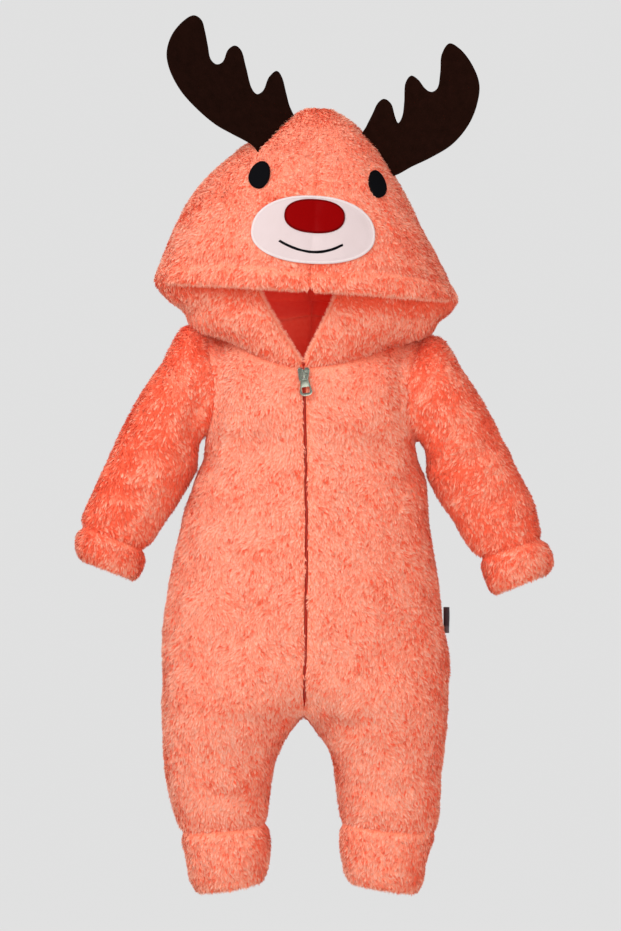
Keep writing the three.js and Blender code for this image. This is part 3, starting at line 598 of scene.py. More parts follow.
def sample(skin, count, rng, allowed=None):
    """Random places on a skin: three corners of a triangle and their shares."""
    quads = skin["quads"]
    triangles = np.concatenate([quads[:, [0, 1, 2]], quads[:, [0, 2, 3]]])
    a, b, c = (skin["outer"][triangles[:, k]] for k in range(3))
    area = np.linalg.norm(np.cross(b - a, c - a), axis=1)
    picked = rng.choice(len(triangles), count, p=area / area.sum())
    u, v = rng.random(count), rng.random(count)
    over = u + v > 1
    u[over], v[over] = 1 - u[over], 1 - v[over]
    shares = np.stack([1 - u - v, u, v], axis=1)
    corners = triangles[picked]
    fields = ("outer", "inner", "out", "seam", "tone")
    result = {field: np.einsum("nk,nk...->n...", shares, skin[field][corners]) for field in fields}
    result["out"] = unit(result["out"])
    keep = np.ones(count, bool) if allowed is None else allowed(result["outer"])
    return {field: values[keep] for field, values in result.items()}


def turned(vectors, axes, angles):
    """Vectors square to their axes, turned about them."""
    return vectors * np.cos(angles)[:, None] + np.cross(axes, vectors) * np.sin(angles)[:, None]


def nap_direction(out, angle):
    """Down the garment along the surface, turned by an angle."""
    down = out * [0.4, 0.4, 0] + [0, 0, -1.0]
    along = down - out * (down * out).sum(1)[:, None]
    return turned(unit(along), out, angle)


FIRST_SEED = 100
LOCK = 7                      # fibres that lean together
LOCK_TINT = 0.42              # how much the locks' tones differ
FIBRE_TINT = 0.16             # and the fibres' within a lock
FIBRE_LEAN = 4.4
FIBRE_WIDTH = 0.8
FIBRE_ROOT = 0.35             # how far up the pile's colours a loose fibre starts
FIBRE_DOME = 0.16             # how much a lock's fibres are shaded as one round tuft
RIM_FIBRES = 12.0             # on each millimetre of a free edge
RIM_LENGTH = (2.0, 6.0)
RIM_INSIDE = 1.2              # how far from the cloth's inside the fibres of an edge stop
RIM_FROM_SEAM = 2.5           # a free edge is further from a seam than this
ROOT_SUNK = 0.3
PRESSED = 3.5                 # how far from a seam the pile is still pressed down


def locks(skin, count, rng, allowed):
    place = sample(skin, count, rng, allowed)
    total = len(place["outer"])
    swirl = 1.3 * soft_noise(place["outer"], 24, 3) + rng.normal(0, 0.28, total)
    height = 1.0 + 0.45 * soft_noise(place["outer"], 8, 4) + rng.normal(0, 0.1, total)
    height *= 1 - 0.5 * np.exp(-((place["seam"] / PRESSED) ** 2))
    nap = nap_direction(place["out"], swirl)
    root = at_depth(place, DENSE)
    rise = place["out"] * (DENSE * np.clip(height, 0.4, 1.5))[:, None]
    place["tip"] = root + rise + nap * (FIBRE_LEAN * rng.uniform(0.4, 1.2, total))[:, None]
    tint = place["tone"] + rng.normal(0, LOCK_TINT, total)
    return {**place, "nap": nap, "rise": rise, "tint": tint}


def fibre_arrays(skin, count, rng, allowed):
    lock = locks(skin, max(40, count // LOCK), rng, allowed)
    tree = tree_of(lock["outer"])
    place = sample(skin, count, rng, allowed)
    total = len(place["outer"])
    of = np.array([tree.find(point)[1] for point in place["outer"]])
    root = at_depth(place, DENSE + ROOT_SUNK)
    rise = lock["rise"][of] * rng.uniform(0.6, 1.15, total)[:, None]
    lean = lock["nap"][of] * (FIBRE_LEAN * rng.uniform(0.4, 1.3, total))[:, None]
    tip = lerp(root + rise + lean, lock["tip"][of], rng.uniform(0.4, 0.8, total)[:, None])
    tip += rng.normal(0, 0.3, (total, 3))
    dome = root - at_depth(lock, DENSE)[of]
    normal = unit(place["out"] + dome * FIBRE_DOME)
    tone = lock["tint"][of] + rng.normal(0, FIBRE_TINT, total)
    return root, tip, normal, tone


def rim_arrays(skin, rng):
    """Fibres out of the side of the cloth along its free edges."""
    free = skin["border"][skin["seam"][skin["border"]].min(axis=1) > RIM_FROM_SEAM]
    if not len(free):
        return [np.empty((0, 3))] * 3 + [np.empty(0)]
    a, b = skin["outer"][free[:, 0]], skin["outer"][free[:, 1]]
    length = np.linalg.norm(b - a, axis=1)
    count = int(length.sum() * RIM_FIBRES)
    edge = rng.choice(len(free), count, p=length / length.sum())
    share = rng.random(count)[:, None]
    outer = lerp(a[edge], b[edge], share)
    inner = lerp(skin["inner"][free[edge, 0]], skin["inner"][free[edge, 1]], share)
    out = unit(outer - inner)
    beyond = unit(np.cross(unit(b - a)[edge], out))
    root = lerp(outer, inner, rng.uniform(DENSE, WALL - RIM_INSIDE, count)[:, None] / WALL)
    slant = unit(b - a)[edge] * rng.normal(0, 0.5, count)[:, None]
    way = unit(beyond + slant + out * rng.uniform(-0.1, 0.35, count)[:, None])
    tip = root + way * rng.uniform(*RIM_LENGTH, count)[:, None]
    return root, tip, unit(out + beyond * 0.6), rng.normal(0.6, 0.2, count)


def add_pile(name, skin, count, seed, material, allowed=None):
    rng = np.random.default_rng(seed)
    parts = zip(fibre_arrays(skin, count, rng, allowed), rim_arrays(skin, rng))
    root, tip, normal, tone = (np.concatenate(pair) for pair in parts)
    total = len(root)
    width = FIBRE_WIDTH * rng.uniform(0.6, 1.4, total)[:, None]
    middle = unit(tip - root)
    across = turned(unit(np.cross(middle, normal)), middle, rng.normal(0, 0.6, total))
    points = np.stack([root - across * width / 2, root + across * width / 2, tip], axis=1)
    # Each fibre faces out of the cloth
    facing = np.cross(points[:, 1] - points[:, 0], points[:, 2] - points[:, 0])
    turn = (facing * normal).sum(1) < 0
    points[turn] = points[turn][:, [1, 0, 2]]
    mesh = bpy.data.meshes.new(name + "_pile")
    mesh.vertices.add(total * 3)
    mesh.vertices.foreach_set("co", (points * MM).ravel())
    corners = np.arange(total * 3, dtype=np.int32)
    mesh.loops.add(total * 3)
    mesh.loops.foreach_set("vertex_index", corners)
    mesh.polygons.add(total)
    mesh.polygons.foreach_set("loop_start", corners[::3].copy())
    mesh.update(calc_edges=True)
    mesh.materials.append(material)
    along = np.tile([FIBRE_ROOT, FIBRE_ROOT, 1.0], total)
    colour_points(mesh, along, np.repeat(tone, 3))
    add_bake_map(mesh, along, tone)
    mesh.shade_smooth()
    mesh.normals_split_custom_set_from_vertices(np.repeat(normal, 3, axis=0))
    return placed(name + "_pile", mesh)


def add_bake_map(mesh, along, tone):
    """The pile's colour depends on two values, so they are also its place in a baked picture."""
    spread = np.tile([-0.004, 0.004, 0.0], len(tone))
    across = np.repeat(np.clip(tone, 0.01, 0.99), 3) + spread
    layer = mesh.uv_layers.new(name="OFBake")
    places = np.stack([np.clip(along, 0.01, 0.99), across], axis=1)
    layer.data.foreach_set("uv", places.ravel().astype(np.float32))


def dress_fleece(skins):
    dense = make_material("fleece_dense", dense_look)
    knit = make_material("fleece_knit", knit_look)
    pile = make_material("fleece_pile", pile_look)
    for seed, (name, cut) in enumerate(FLEECE.items(), FIRST_SEED):
        cloth = add_shell(name, skins[name], [dense, knit])
        declare(cloth, [name])
        count = cut["fibres"]
        allowed = beside_patches if name.startswith("hood") else None
        fibres = add_pile(name, skins[name], count, seed, pile, allowed)
        declare(fibres)


# Face: patches sewn on the front of the hood, each an oval about a centre seen from the front.
# half is half its width, above and below are its heights over and under its widest level, turn is
# in degrees clockwise, round is its outline's fullness and taper how much it narrows upward; low
# and high are its bottom and top over the pile's tips.
PATCHES = table("x z half above below turn round taper low high", {
    "muzzle": (7, 109, 61, 38, 29, 3, 0.9, 0, -2.0, 1.5),
    "nose": (8.5, 126.5, 29.5, 16.5, 16.5, 3.5, 0.86, 0, 1.0, 2.7),
    "eye_left": (-46, 169, 9.6, 13.4, 13.4, 22, 0.95, 0.12, -2.0, 1.3),
    "eye_right": (71, 160, 7.6, 13.6, 13.6, -17, 0.95, 0.12, -2.0, 1.3),
})
MOUTH = {"left": (-26, 102), "middle": (6, 91), "right": (36, 98), "half": 1.35}
SPOKES = 96
# How far out each ring of a patch is, and its height from the bottom, 0, to the top, 1
PATCH_RINGS = [
    (0.12, 1.0), (0.25, 1.0), (0.4, 1.0), (0.55, 1.0), (0.7, 1.0), (0.82, 1.0), (0.9, 0.97),
    (0.945, 0.86), (0.965, 0.97), (0.985, 0.93), (0.997, 0.7), (1.0, 0.35), (1.0, 0.0),
]


def signed_power(value, power):
    return np.sign(value) * np.abs(value) ** power


def oval(patch, angle, scale=1.0):
    narrowed = 1 - patch["taper"] * np.sin(angle)
    across = patch["half"] * signed_power(np.cos(angle), patch["round"]) * scale * narrowed
    tall = np.where(np.sin(angle) > 0, patch["above"], patch["below"])
    up = tall * signed_power(np.sin(angle), patch["round"]) * scale
    turn = math.radians(patch["turn"])
    x = patch["x"] + across * math.cos(turn) + up * math.sin(turn)
    z = patch["z"] - across * math.sin(turn) + up * math.cos(turn)
    return np.stack([x, z], axis=-1)


def beside_patches(points):
    """Places on the hood that no patch covers."""
    free = np.ones(len(points), bool)
    for name in ("muzzle", "eye_left", "eye_right"):
        patch = PATCHES[name]
        turn = math.radians(patch["turn"])
        x, z = points[:, 0] - patch["x"], points[:, 2] - patch["z"]
        across = x * math.cos(turn) - z * math.sin(turn)
        up = x * math.sin(turn) + z * math.cos(turn)
        tall = np.where(up > 0, patch["above"], patch["below"])
        size = np.abs(across / patch["half"]) ** (2 / patch["round"])
        size += np.abs(up / tall) ** (2 / patch["round"])
        free &= (size > 0.97) | (points[:, 1] > 0)
    return free


def hood_surface(skins):
    """The hood's front to cast onto, and its points with their ways out."""
    left, right = skins["hood_left"], skins["hood_right"]
    points = np.concatenate([left["outer"], right["outer"]]).tolist()
    faces = np.concatenate([left["quads"], right["quads"] + len(left["outer"])]).tolist()
    outs = np.concatenate([left["out"], right["out"]])
    return {"cast": BVHTree.FromPolygons(points, faces), "near": tree_of(points), "outs": outs}


def on_hood(hood, x, z):
    """The place on the hood's front at x and z, across the seam's gap if need be."""
    way = Vector((0, 1, 0))
    hits = [hood["cast"].ray_cast(Vector((at, -300, z)), way)[0] for at in (x - 1, x, x + 1)]
    middle = hits[1] or (hits[0] + hits[2]) / 2
    close = hood["near"].find_n(middle, 7)
    weights = np.array([1 / (distance + 0.5) ** 2 for _, _, distance in close])
    out = (hood["outs"][[at for _, at, _ in close]] * weights[:, None]).sum(0)
    return np.array([x, middle.y, z]), unit(out)


def raised(hood, flat, heights):
    """Points at heights over the hood, and the way out at each."""
    found = [on_hood(hood, x, z) for x, z in flat]
    places = np.array([place for place, _ in found])
    outs = np.array([out for _, out in found])
    return places + outs * np.asarray(heights)[:, None], outs


# The muzzle's faint upright folds: where each one is in X, its lower and upper end, and its height
MUZZLE_FOLDS = [
    (-25, 100, 132, 0.5), (36, 78, 122, 0.8), (44, 84, 118, -0.6),
    (-6, 84, 96, 0.3), (14, 82, 94, -0.3), (-38, 86, 110, -0.35),
]
FOLD_WIDTH = 3.2


def muzzle_folds(flat):
    x, z = flat[:, 0], flat[:, 1]
    relief = np.zeros(len(flat))
    for centre, low, high, size in MUZZLE_FOLDS:
        bend = np.sin(np.clip((z - low) / (high - low), 0, 1) * math.pi)
        relief += size * np.exp(-(((x - centre - 3 * bend) / FOLD_WIDTH) ** 2)) * bend
    return relief


def add_patch(hood, name, material):
    patch = PATCHES[name]
    angles = np.arange(SPOKES) / SPOKES * 2 * math.pi
    rings = [oval(patch, angles, scale) for scale, _ in PATCH_RINGS]
    flat = np.concatenate([[[patch["x"], patch["z"]]], *rings])
    heights = np.concatenate([[1.0], np.repeat([height for _, height in PATCH_RINGS], SPOKES)])
    height = lerp(patch["low"], patch["high"], heights)
    if name == "muzzle":
        height = height + muzzle_folds(flat) * (heights > 0.9)
    points, _ = raised(hood, flat, height)
    faces = [(0, 1 + s, 1 + (s + 1) % SPOKES) for s in range(SPOKES)]
    faces += tube_faces(len(PATCH_RINGS), SPOKES, first=1)
    faces.append(list(reversed(range(len(points) - SPOKES, len(points)))))
    kind = "_cloth" if name == "muzzle" else "_fill"
    return add_mesh(name + kind, points, faces, [material])


STITCH_STEPS = [(0.0, -0.25), (0.2, 0.35), (0.5, 0.5), (0.8, 0.35), (1.0, -0.25)]


def stitch_mesh(name, starts, ends, outs, width, material):
    """Satin stitches, each a low rounded bar from a start to an end."""
    points, faces = [], []
    for start, end, out in zip(starts, ends, outs):
        way = unit(end - start)
        side = unit(np.cross(out, way)) * width / 2
        base = len(points)
        for share, rise in STITCH_STEPS:
            middle = lerp(start, end, share)
            points += [middle - side + out * (rise - 0.2), middle + out * rise,
                       middle + side + out * (rise - 0.2)]
        for step in range(len(STITCH_STEPS) - 1):
            for column in range(2):
                corner = base + step * 3 + column
                faces.append((corner, corner + 1, corner + 4, corner + 3))
    return add_mesh(name, points, faces, [material])


def add_border(hood, name, count, reach, width, material):
    """A satin border round a patch: stitches from just outside its edge inward."""
    patch = PATCHES[name]
    turn = np.linspace(0, 2 * math.pi, 721)
    run = np.cumsum(np.linalg.norm(np.diff(oval(patch, turn), axis=0), axis=1))
    run = np.concatenate([[0], run])
    angles = np.interp(np.arange(count) / count * run[-1], run, turn)
    outside = oval(patch, angles)
    # The oval runs anticlockwise, so that its inside is at the left
    tangent = unit(oval(patch, angles + 0.01) - oval(patch, angles - 0.01))
    inward = np.stack([-tangent[:, 1], tangent[:, 0]], axis=1)
    slant = tangent * reach * 0.22
    starts, outs = raised(hood, outside - inward * 0.5, np.full(count, patch["high"] - 0.5))
    ends, _ = raised(hood, outside + inward * reach + slant, np.full(count, patch["high"]))
    return stitch_mesh(name + "_stitches", starts, ends, outs, width, material)


def mouth_curve(count):
    left, middle, right = (np.array(MOUTH[key], float) for key in ("left", "middle", "right"))
    bend = 2 * middle - (left + right) / 2
    t = np.linspace(0, 1, count)[:, None]
    return (1 - t) ** 2 * left + 2 * t * (1 - t) * bend + t**2 * right


def add_mouth(hood, material):
    line = mouth_curve(130)
    tangent = unit(np.gradient(line, axis=0))
    across = np.stack([-tangent[:, 1], tangent[:, 0]], axis=1)
    slant = tangent * 0.4
    height = np.full(len(line), PATCHES["muzzle"]["high"] + 0.25)
    starts, outs = raised(hood, line + across * MOUTH["half"] + slant, height)
    ends, _ = raised(hood, line - across * MOUTH["half"] - slant, height)
    return stitch_mesh("mouth_stitches", starts, ends, outs, 0.85, material)


# Nose: the photographed one is deep red
NOSE_RED = (0.225, 0.0004, 0.0008)


def thread_material(name, colour, roughness=0.42):
    """Satin stitch: fine threads side by side, each with its own painted sheen, lighter or darker."""
    def look(tree):
        threads = noise_of(tree, 1500.0, 2.0, 0.5, 0.16)
        dark = [value * 0.72 for value in colour]
        light = [min(1.0, value * 1.22) for value in colour]
        shade = mix(tree, noise_of(tree, 260.0, 2.0), mix(tree, threads, dark, light), colour)
        return {"Base Color": shade, "Roughness": roughness, "Specular IOR Level": 0.02,
                "Normal": bump(tree, threads, 0.3, 0.0003)}

    return make_material(name, look)


def muzzle_look(tree):
    """A fine plain weave, off-white."""
    weave = maths(tree, "MULTIPLY", *(waves(tree, way, 520.0, 0.6) for way in "XZ"))
    tint = mix(tree, noise_of(tree, 46.0), (0.64, 0.52, 0.51), (0.68, 0.565, 0.565))
    shade = ramp(tree, weave, [(0.0, (0.93, 0.92, 0.92)), (0.6, (1, 1, 1))])
    return {"Base Color": times(tree, tint, shade), "Roughness": 0.85, "Specular IOR Level": 0.15,
            "Sheen Weight": 0.15, "Normal": bump(tree, weave, 0.35, 0.0003)}


def add_face(hood):
    weave = make_material("muzzle_weave", muzzle_look)
    pale = thread_material("muzzle_thread", (0.70, 0.60, 0.59), 0.5)
    red = thread_material("nose_thread", NOSE_RED)
    rim = thread_material("nose_rim_thread", tuple(value * 0.62 for value in NOSE_RED))
    black = thread_material("black_thread", (0.0035, 0.0035, 0.0045), 0.7)
    muzzle = declare(add_patch(hood, "muzzle", weave), ["muzzle"])
    edging = declare(add_border(hood, "muzzle", 400, 2.1, 0.95, pale))
    declare(add_patch(hood, "nose", red), ["nose"])
    declare(add_border(hood, "nose", 240, 1.5, 0.8, rim))
    for name in ("eye_left", "eye_right"):
        declare(add_patch(hood, name, black), [name])
        declare(add_border(hood, name, 120, 1.2, 0.75, black))
    declare(add_mouth(hood, black), ["mouth"])


# Antlers: felt shapes with a soft cut edge, on the solids' own outlines

def outline_of(name):
    """The outline of a solid's front face, in order."""
    bm = welded(name)
    faces = [face for face in bm.faces if face.normal.y < -0.5]
    front = set(faces)
    follows = {}
    for face in faces:
        for loop in face.loops:
            others = [other for other in loop.edge.link_faces if other is not face]
            if not others or others[0] not in front:
                follows[loop.vert] = loop.link_loop_next.vert
    chain = [next(iter(follows))]
    while follows[chain[-1]] is not chain[0] and len(chain) < len(follows):
        chain.append(follows[chain[-1]])
    places = np.array([vert.co for vert in chain]) / MM
    bm.free()
    return places


def smooth_loop(points, times):
    """A closed run of points with points added between them, on a smooth curve."""
    result = points
    for _ in range(times):
        after, before = np.roll(result, -1, axis=0), np.roll(result, 1, axis=0)
        far = np.roll(result, -2, axis=0)
        middle = (9 * (result + after) - before - far) / 16
        result = np.stack([result, middle], axis=1).reshape(-1, points.shape[1])
    return result


FELT_THICK = 3.6
FELT_SUNK = 4.0               # how far an antler's base goes on into the pile
FELT_TOUCH = 3.0              # and how near to the hood that base is
# How far in from the outline each level of the felt's edge is, and its share of the thickness
FELT_LEVELS = [(0.8, 0.0), (0.25, 0.12), (0.0, 0.32), (0.0, 0.68), (0.25, 0.88), (0.8, 1.0)]


def into_hood(places, hood):
    """Points of an antler's outline, with those at the hood's surface sunk into its pile."""
    sunk = places.copy()
    for at, point in enumerate(places):
        place, _, _, distance = hood["cast"].find_nearest(point)
        if distance < FELT_TOUCH:
            out = hood["outs"][hood["near"].find(place)[1]]
            sunk[at] = point - out * FELT_SUNK
    return sunk


def felt_line(name, hood):
    """An antler's outline, evenly spaced and smooth."""
    places = into_hood(outline_of(name), hood)
    keep = np.linalg.norm(places - np.roll(places, 1, axis=0), axis=1) > 0.4
    return smooth_loop(places[keep], 1)


def add_felt(name, line, material):
    tangent = unit(np.roll(line, -1, axis=0) - np.roll(line, 1, axis=0))
    plane = unit(np.linalg.svd(line - line.mean(0))[2][2])
    # The outline runs anticlockwise as seen along the felt's front
    inward = unit(np.cross(plane * -np.sign(plane[1]), tangent))
    depth = np.array([0, FELT_THICK, 0])
    points = np.concatenate([line + inward * inset + depth * share for inset, share in FELT_LEVELS])
    size = len(FELT_LEVELS), len(line)
    faces = end_faces(*size) + tube_faces(*size)
    return add_mesh(name + "_felt", points, faces, [material], smooth=False)


def felt_look(tree):
    mottle = noise_of(tree, 120.0, 4.0, 0.7)
    fuzz = noise_of(tree, 1400.0, 3.0, 0.7)
    colour = mix(tree, mottle, (0.0060, 0.0021, 0.0011), (0.0200, 0.0058, 0.0036))
    grain = ramp(tree, fuzz, [(0.3, (0.6, 0.6, 0.6)), (0.7, (1, 1, 1))])
    return {"Base Color": times(tree, colour, grain), "Roughness": 0.95, "Specular IOR Level": 0.02,
            "Normal": bump(tree, maths(tree, "ADD", mottle, fuzz), 0.5, 0.0006)}


def add_antlers(hood):
    felt = make_material("felt", felt_look)
    for name in ("antler_left", "antler_right"):
        line = felt_line(name, hood)
        antler = declare(add_felt(name, line, felt), [name])


# Zip: a coil chain between the fronts, its woven tapes, and the metal slider and pull

TOOTH_PITCH = 1.25
ZIP_SPREAD = 9                # the zip's edges are nearer to X 0 than this
ZIP_DEPTH = -40               # and further to the front than this
ZIP_TOP = -38.0
ZIP_END = -356.5


def zip_line(skins, levels):
    """Middle of the gap between the front panels at each level, and the way out there."""
    found = []
    for name in ("front_left", "front_right"):
        skin = skins[name]
        ids = np.unique(skin["border"])
        x, y, z = skin["outer"][ids].T
        ids = ids[(np.abs(x) < ZIP_SPREAD) & (y < ZIP_DEPTH) & (z > ZIP_END - 6)]
        ids = ids[np.argsort(skin["outer"][ids, 2])]
        x, y, z = skin["outer"][ids].T
        found.append(np.stack([np.interp(levels, z, value) for value in (x, y, *skin["out"][ids].T)]))
    middle = sum(found).T / 2
    return np.column_stack([middle[:, :2], levels]), unit(middle[:, 2:])


# Half of a coil's turn: its reach from the middle and rise at each section, and a section's form
TOOTH_PATH = [(-0.35, 0.0), (0.3, 0.5), (0.8, 0.4), (1.25, -0.5)]
TOOTH_SECTION = [(-0.42, 0.0), (-0.3, 0.45), (0.0, 0.62), (0.3, 0.45), (0.42, 0.0)]
CHAIN_DEPTH = 5.6


def tooth(place, out, side):
    """Half of a coil's turn on its own side, and its faces."""
    points = []
    for reach, rise in TOOTH_PATH:
        for offset, height in TOOTH_SECTION:
            along = [reach * side, 0, offset + 0.25 * reach * side]
            points.append(place + along + out * (rise + height))
    rows, width = len(TOOTH_PATH), len(TOOTH_SECTION)
    sides = [face for at, face in enumerate(tube_faces(rows, width)) if at % width < width - 1]
    faces = sides + end_faces(rows, width)
    return points, [face[::-1] for face in faces] if side < 0 else faces


def add_chain(skins, material):
    levels = np.arange(ZIP_TOP, ZIP_END, -TOOTH_PITCH)
    middle, outs = zip_line(skins, levels)
    points, faces = [], []
    for at, (place, out) in enumerate(zip(middle, outs)):
        for side in (-1, 1):
            shift = np.array([0, 0, -TOOTH_PITCH / 4 * side])
            more, shape = tooth(place - out * CHAIN_DEPTH + shift, out, side)
            faces += [tuple(index + len(points) for index in face) for face in shape]
            points += more
    return add_mesh("zip_coil", points, faces, [material])


def add_strip(name, skins, left, right, low, high, columns, material):
    """A flat strip down behind the fronts, between two distances from the zip's middle."""
    levels = np.linspace(ZIP_TOP, ZIP_END - 2, 90)
    middle, outs = zip_line(skins, levels)
    points = []
    across = np.linspace(left, right, columns)
    for place, out in zip(middle, outs):
        points += [place + [offset, 0, 0] + out * high for offset in across]
        points += [place + [offset, 0, 0] + out * low for offset in across[::-1]]
    size = len(levels), 2 * columns
    return add_mesh(name, points, tube_faces(*size) + end_faces(*size), [material])


def tape_look(tree):
    rib = waves(tree, "DIAGONAL", 420.0, 0.8)
    colour = mix(tree, rib, (0.62, 0.045, 0.025), (0.85, 0.085, 0.05))
    return {"Base Color": colour, "Roughness": 0.8, "Normal": bump(tree, rib, 0.4, 0.0003)}


def coil_look(tree):
    colour = mix(tree, noise_of(tree, 500.0), (0.50, 0.035, 0.02), (0.72, 0.07, 0.04))
    return {"Base Color": colour, "Roughness": 0.45}


def chrome_look(tree):
    """Plated metal with faint rub marks, and a painted reflection in its colour: dark on the flat
    faces, which are square to Y, and bright on the rounded edges."""
    marks = noise_of(tree, 900.0)
    rough = node(tree, "MapRange", {"Value": marks, "To Min": 0.16, "To Max": 0.34})
    ways = node(tree, "SeparateXYZ", {"Vector": node(tree, "TexCoord").outputs["Normal"]})
    # Painted reflection: darker as the faces turn square to Y
    stops = [(0.55, (0.86, 0.85, 0.82)), (0.86, (0.5, 0.5, 0.46)), (0.97, (0.15, 0.16, 0.13))]
    painted_reflection = ramp(tree, maths(tree, "ABSOLUTE", ways.outputs["Y"]), stops)
    return {"Base Color": painted_reflection, "Metallic": 1.0, "Roughness": rough.outputs["Result"],
            "Normal": bump(tree, marks, 0.08, 0.0001)}


def bevelled(name, made, offset, material):
    """A solid's shape with its edges rounded."""
    bm = welded(name)
    bmesh.ops.dissolve_limit(bm, angle_limit=0.02, verts=bm.verts, edges=bm.edges)
    sharp = [edge for edge in bm.edges if len(edge.link_faces) == 2 and edge.calc_face_angle() > 0.5]
    bmesh.ops.bevel(bm, geom=sharp, offset=offset * MM, segments=2, profile=0.6, affect="EDGES",
                    clamp_overlap=True)
    bmesh.ops.triangulate(bm, faces=[face for face in bm.faces if len(face.verts) > 4])
    bm.verts.index_update()
    points = np.array([vert.co for vert in bm.verts]) / MM
    # The bevel leaves the faces in an order that varies, so they are sorted by their corners
    rings = [[vert.index for vert in face.verts] for face in bm.faces]
    starts = [ring.index(min(ring)) for ring in rings]
    faces = sorted(ring[start:] + ring[:start] for ring, start in zip(rings, starts))
    bm.free()
    return add_mesh(made, points, faces, [material])


def add_zip(skins):
    weave = make_material("zip_weave", tape_look)
    coil = make_material("zip_coil", coil_look)
    chrome = make_material("zip_chrome", chrome_look)
    declare(add_chain(skins, coil), ["zip_chain"])
    core = add_strip("zip_core", skins, -0.9, 0.9, -6.9, -5.9, 3, weave)
    declare(core)
    tapes = {"zip_tape_left": (-11.0, -0.15), "zip_tape_right": (0.15, 11.0)}
    for name, (left, right) in tapes.items():
        strip = add_strip(name + "_weave", skins, left, right, -8.8, -8.0, 6, weave)
        declare(strip, [name])
    declare(bevelled("zip_slider", "slider_metal", 0.28, chrome), ["zip_slider"])
    declare(bevelled("zip_pull", "pull_metal", 0.3, chrome), ["zip_pull"], "zip_pull")


# Side tag: a blank folded strip

TAG_TOP = -0.263              # in metres, like the shader's places
TAG_BOTTOM = -0.289


def tag_look(tree):
    """Dark satin tape, paler at its lower end."""
    height = node(tree, "SeparateXYZ", {"Vector": place_of(tree)}).outputs["Z"]
    reach = {"Value": height, "From Min": TAG_BOTTOM, "From Max": TAG_TOP}
    level = node(tree, "MapRange", reach).outputs["Result"]
    threads = waves(tree, "Z", 600.0)
    tones = [(0.0, (0.16, 0.16, 0.17)), (0.28, (0.11, 0.11, 0.12)), (0.34, (0.045, 0.04, 0.05))]
    shade = mix(tree, threads, (0.8, 0.8, 0.8), (1.0, 1.0, 1.0))
    return {"Base Color": times(tree, ramp(tree, level, tones), shade), "Roughness": 0.6,
            "Normal": bump(tree, threads, 0.25, 0.0002)}


TAG_SHOWN = 0.62              # share of the tag's reach that the pile leaves clear
TAG_ROWS = 14
TAG_WAVE = 0.35
TAG_WAY = (1.0, -0.8, 0.0)    # the way that it stands out of the seam


def there_and_back(path, side):
    """A path out along one side of its middle line and back along the other."""
    return ([(out, side * half) for out, half in path]
            + [(out, -side * half) for out, half in path[::-1][1:]])


def add_tag():
    """The label: a ribbon folded in two, with a little air between its layers."""
    corners = np.array([vert.co for vert in nodes["side_label"].data.vertices]) / MM
    top, bottom = corners[:, 2].max(), corners[:, 2].min()
    forward = unit(np.array(TAG_WAY))
    side = np.array([-forward[1], forward[0], 0.0])
    root = np.array([corners[:, 0].min(), corners[:, 1].max(), 0])
    reach = ((corners - root) @ forward).max() * TAG_SHOWN
    outer = [(0, 0.7), (reach * 0.5, 0.75), (reach - 1.0, 0.72), (reach - 0.3, 0.45), (reach, 0.0)]
    inner = [(0, 0.3), (reach * 0.5, 0.35), (reach - 1.3, 0.3), (reach - 0.7, 0.0)]
    profile = there_and_back(outer, 1) + there_and_back(inner, -1)
    across = (corners - root) @ side
    centre = (across.max() + across.min()) / 2
    points = []
    for share in np.linspace(0, 1, TAG_ROWS):
        wave = TAG_WAVE * math.sin(share * 5.0)
        for out, half in profile:
            place = root + forward * out + side * (centre + half + wave * out / reach)
            points.append(place + [0, 0, lerp(top, bottom, share)])
    satin = make_material("label_satin", tag_look)
    size = TAG_ROWS, len(profile)
    tag = add_mesh("side_tag", points, tube_faces(*size) + end_faces(*size), [satin])
    declare(tag, ["side_label"])


# Camera, light and stage

LENS = 500
SENSOR = 36
PHOTO_HEIGHT = 931            # one pixel of the photograph is one millimetre
PHOTO_MIDDLE = (4.5, -120.5)  # in X and Z
FAR_CLIP = 120                # in metres

AMBIENT = 0.68
LIGHT_SIZE = 1.2              # in metres, like the lights' places
LIGHTS = {"key": ((-1.5, -1.7, 1.5), 40), "front": ((0.4, -3.0, 0.1), 24)}
LIGHT_AIM = (0, 0, -0.1)

FLOOR_Z = -640.0
STAGE_RADIUS = 25000.0        # beyond the camera on every side
STAGE_CURVE = 3000.0
STAGE_HEIGHT = 12000.0
STAGE_STEPS = 12
STAGE_SPOKES = 96
STAGE_GLOW = 0.97


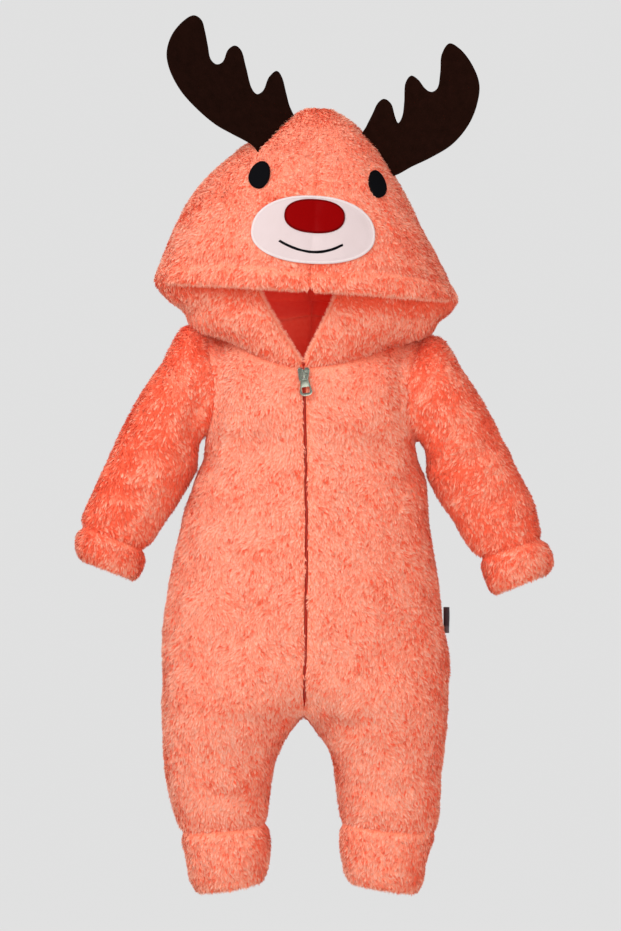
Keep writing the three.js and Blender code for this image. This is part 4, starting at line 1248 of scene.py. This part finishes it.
def add_camera():
    data = bpy.data.cameras.new("camera")
    data.sensor_width = SENSOR
    data.lens = LENS
    data.clip_end = FAR_CLIP
    camera = placed("camera", data)
    x, z = PHOTO_MIDDLE
    camera.location = (x * MM, -PHOTO_HEIGHT * MM * LENS / SENSOR, z * MM)
    camera.rotation_euler = (math.pi / 2, 0, 0)
    bpy.context.scene.camera = camera


def add_light():
    world = bpy.data.worlds.new("studio")
    world.use_nodes = True
    fill(world.node_tree.nodes["Background"], {"Color": (1, 1, 1, 1), "Strength": AMBIENT})
    bpy.context.scene.world = world
    for name, (place, energy) in LIGHTS.items():
        data = bpy.data.lights.new(name, "AREA")
        data.size = LIGHT_SIZE
        data.energy = energy
        light = placed(name, data)
        light.location = place
        light.visible_camera = False
        way = Vector(LIGHT_AIM) - Vector(place)
        light.rotation_euler = way.to_track_quat("-Z", "Y").to_euler()


def stage_look(_tree):
    return {"Base Color": (0.03, 0.03, 0.03, 1), "Roughness": 1, "Specular IOR Level": 0,
            "Emission Color": (0.75, 0.75, 0.75, 1), "Emission Strength": STAGE_GLOW}


def add_stage():
    """A pale floor that turns up into a round wall."""
    profile = [(STAGE_RADIUS / 2, FLOOR_Z)]
    for angle in np.linspace(0, math.pi / 2, STAGE_STEPS + 1):
        reach = STAGE_RADIUS - STAGE_CURVE * (1 - math.sin(angle))
        profile.append((reach, FLOOR_Z + STAGE_CURVE * (1 - math.cos(angle))))
    profile.append((STAGE_RADIUS, STAGE_HEIGHT))
    around = [2 * math.pi * step / STAGE_SPOKES for step in range(STAGE_SPOKES)]
    points = [(r * math.cos(turn), r * math.sin(turn), z) for r, z in profile for turn in around]
    faces = [list(range(STAGE_SPOKES))] + tube_faces(len(profile), STAGE_SPOKES)
    add_mesh("floor", points, faces, [make_material("stage", stage_look)])


add_camera()
add_light()
add_stage()
bpy.context.scene.view_settings.view_transform = "Standard"

skins = shape_skins(read_skins())
dress_fleece(skins)
hood = hood_surface(skins)
add_face(hood)
add_antlers(hood)
add_zip(skins)
add_tag()
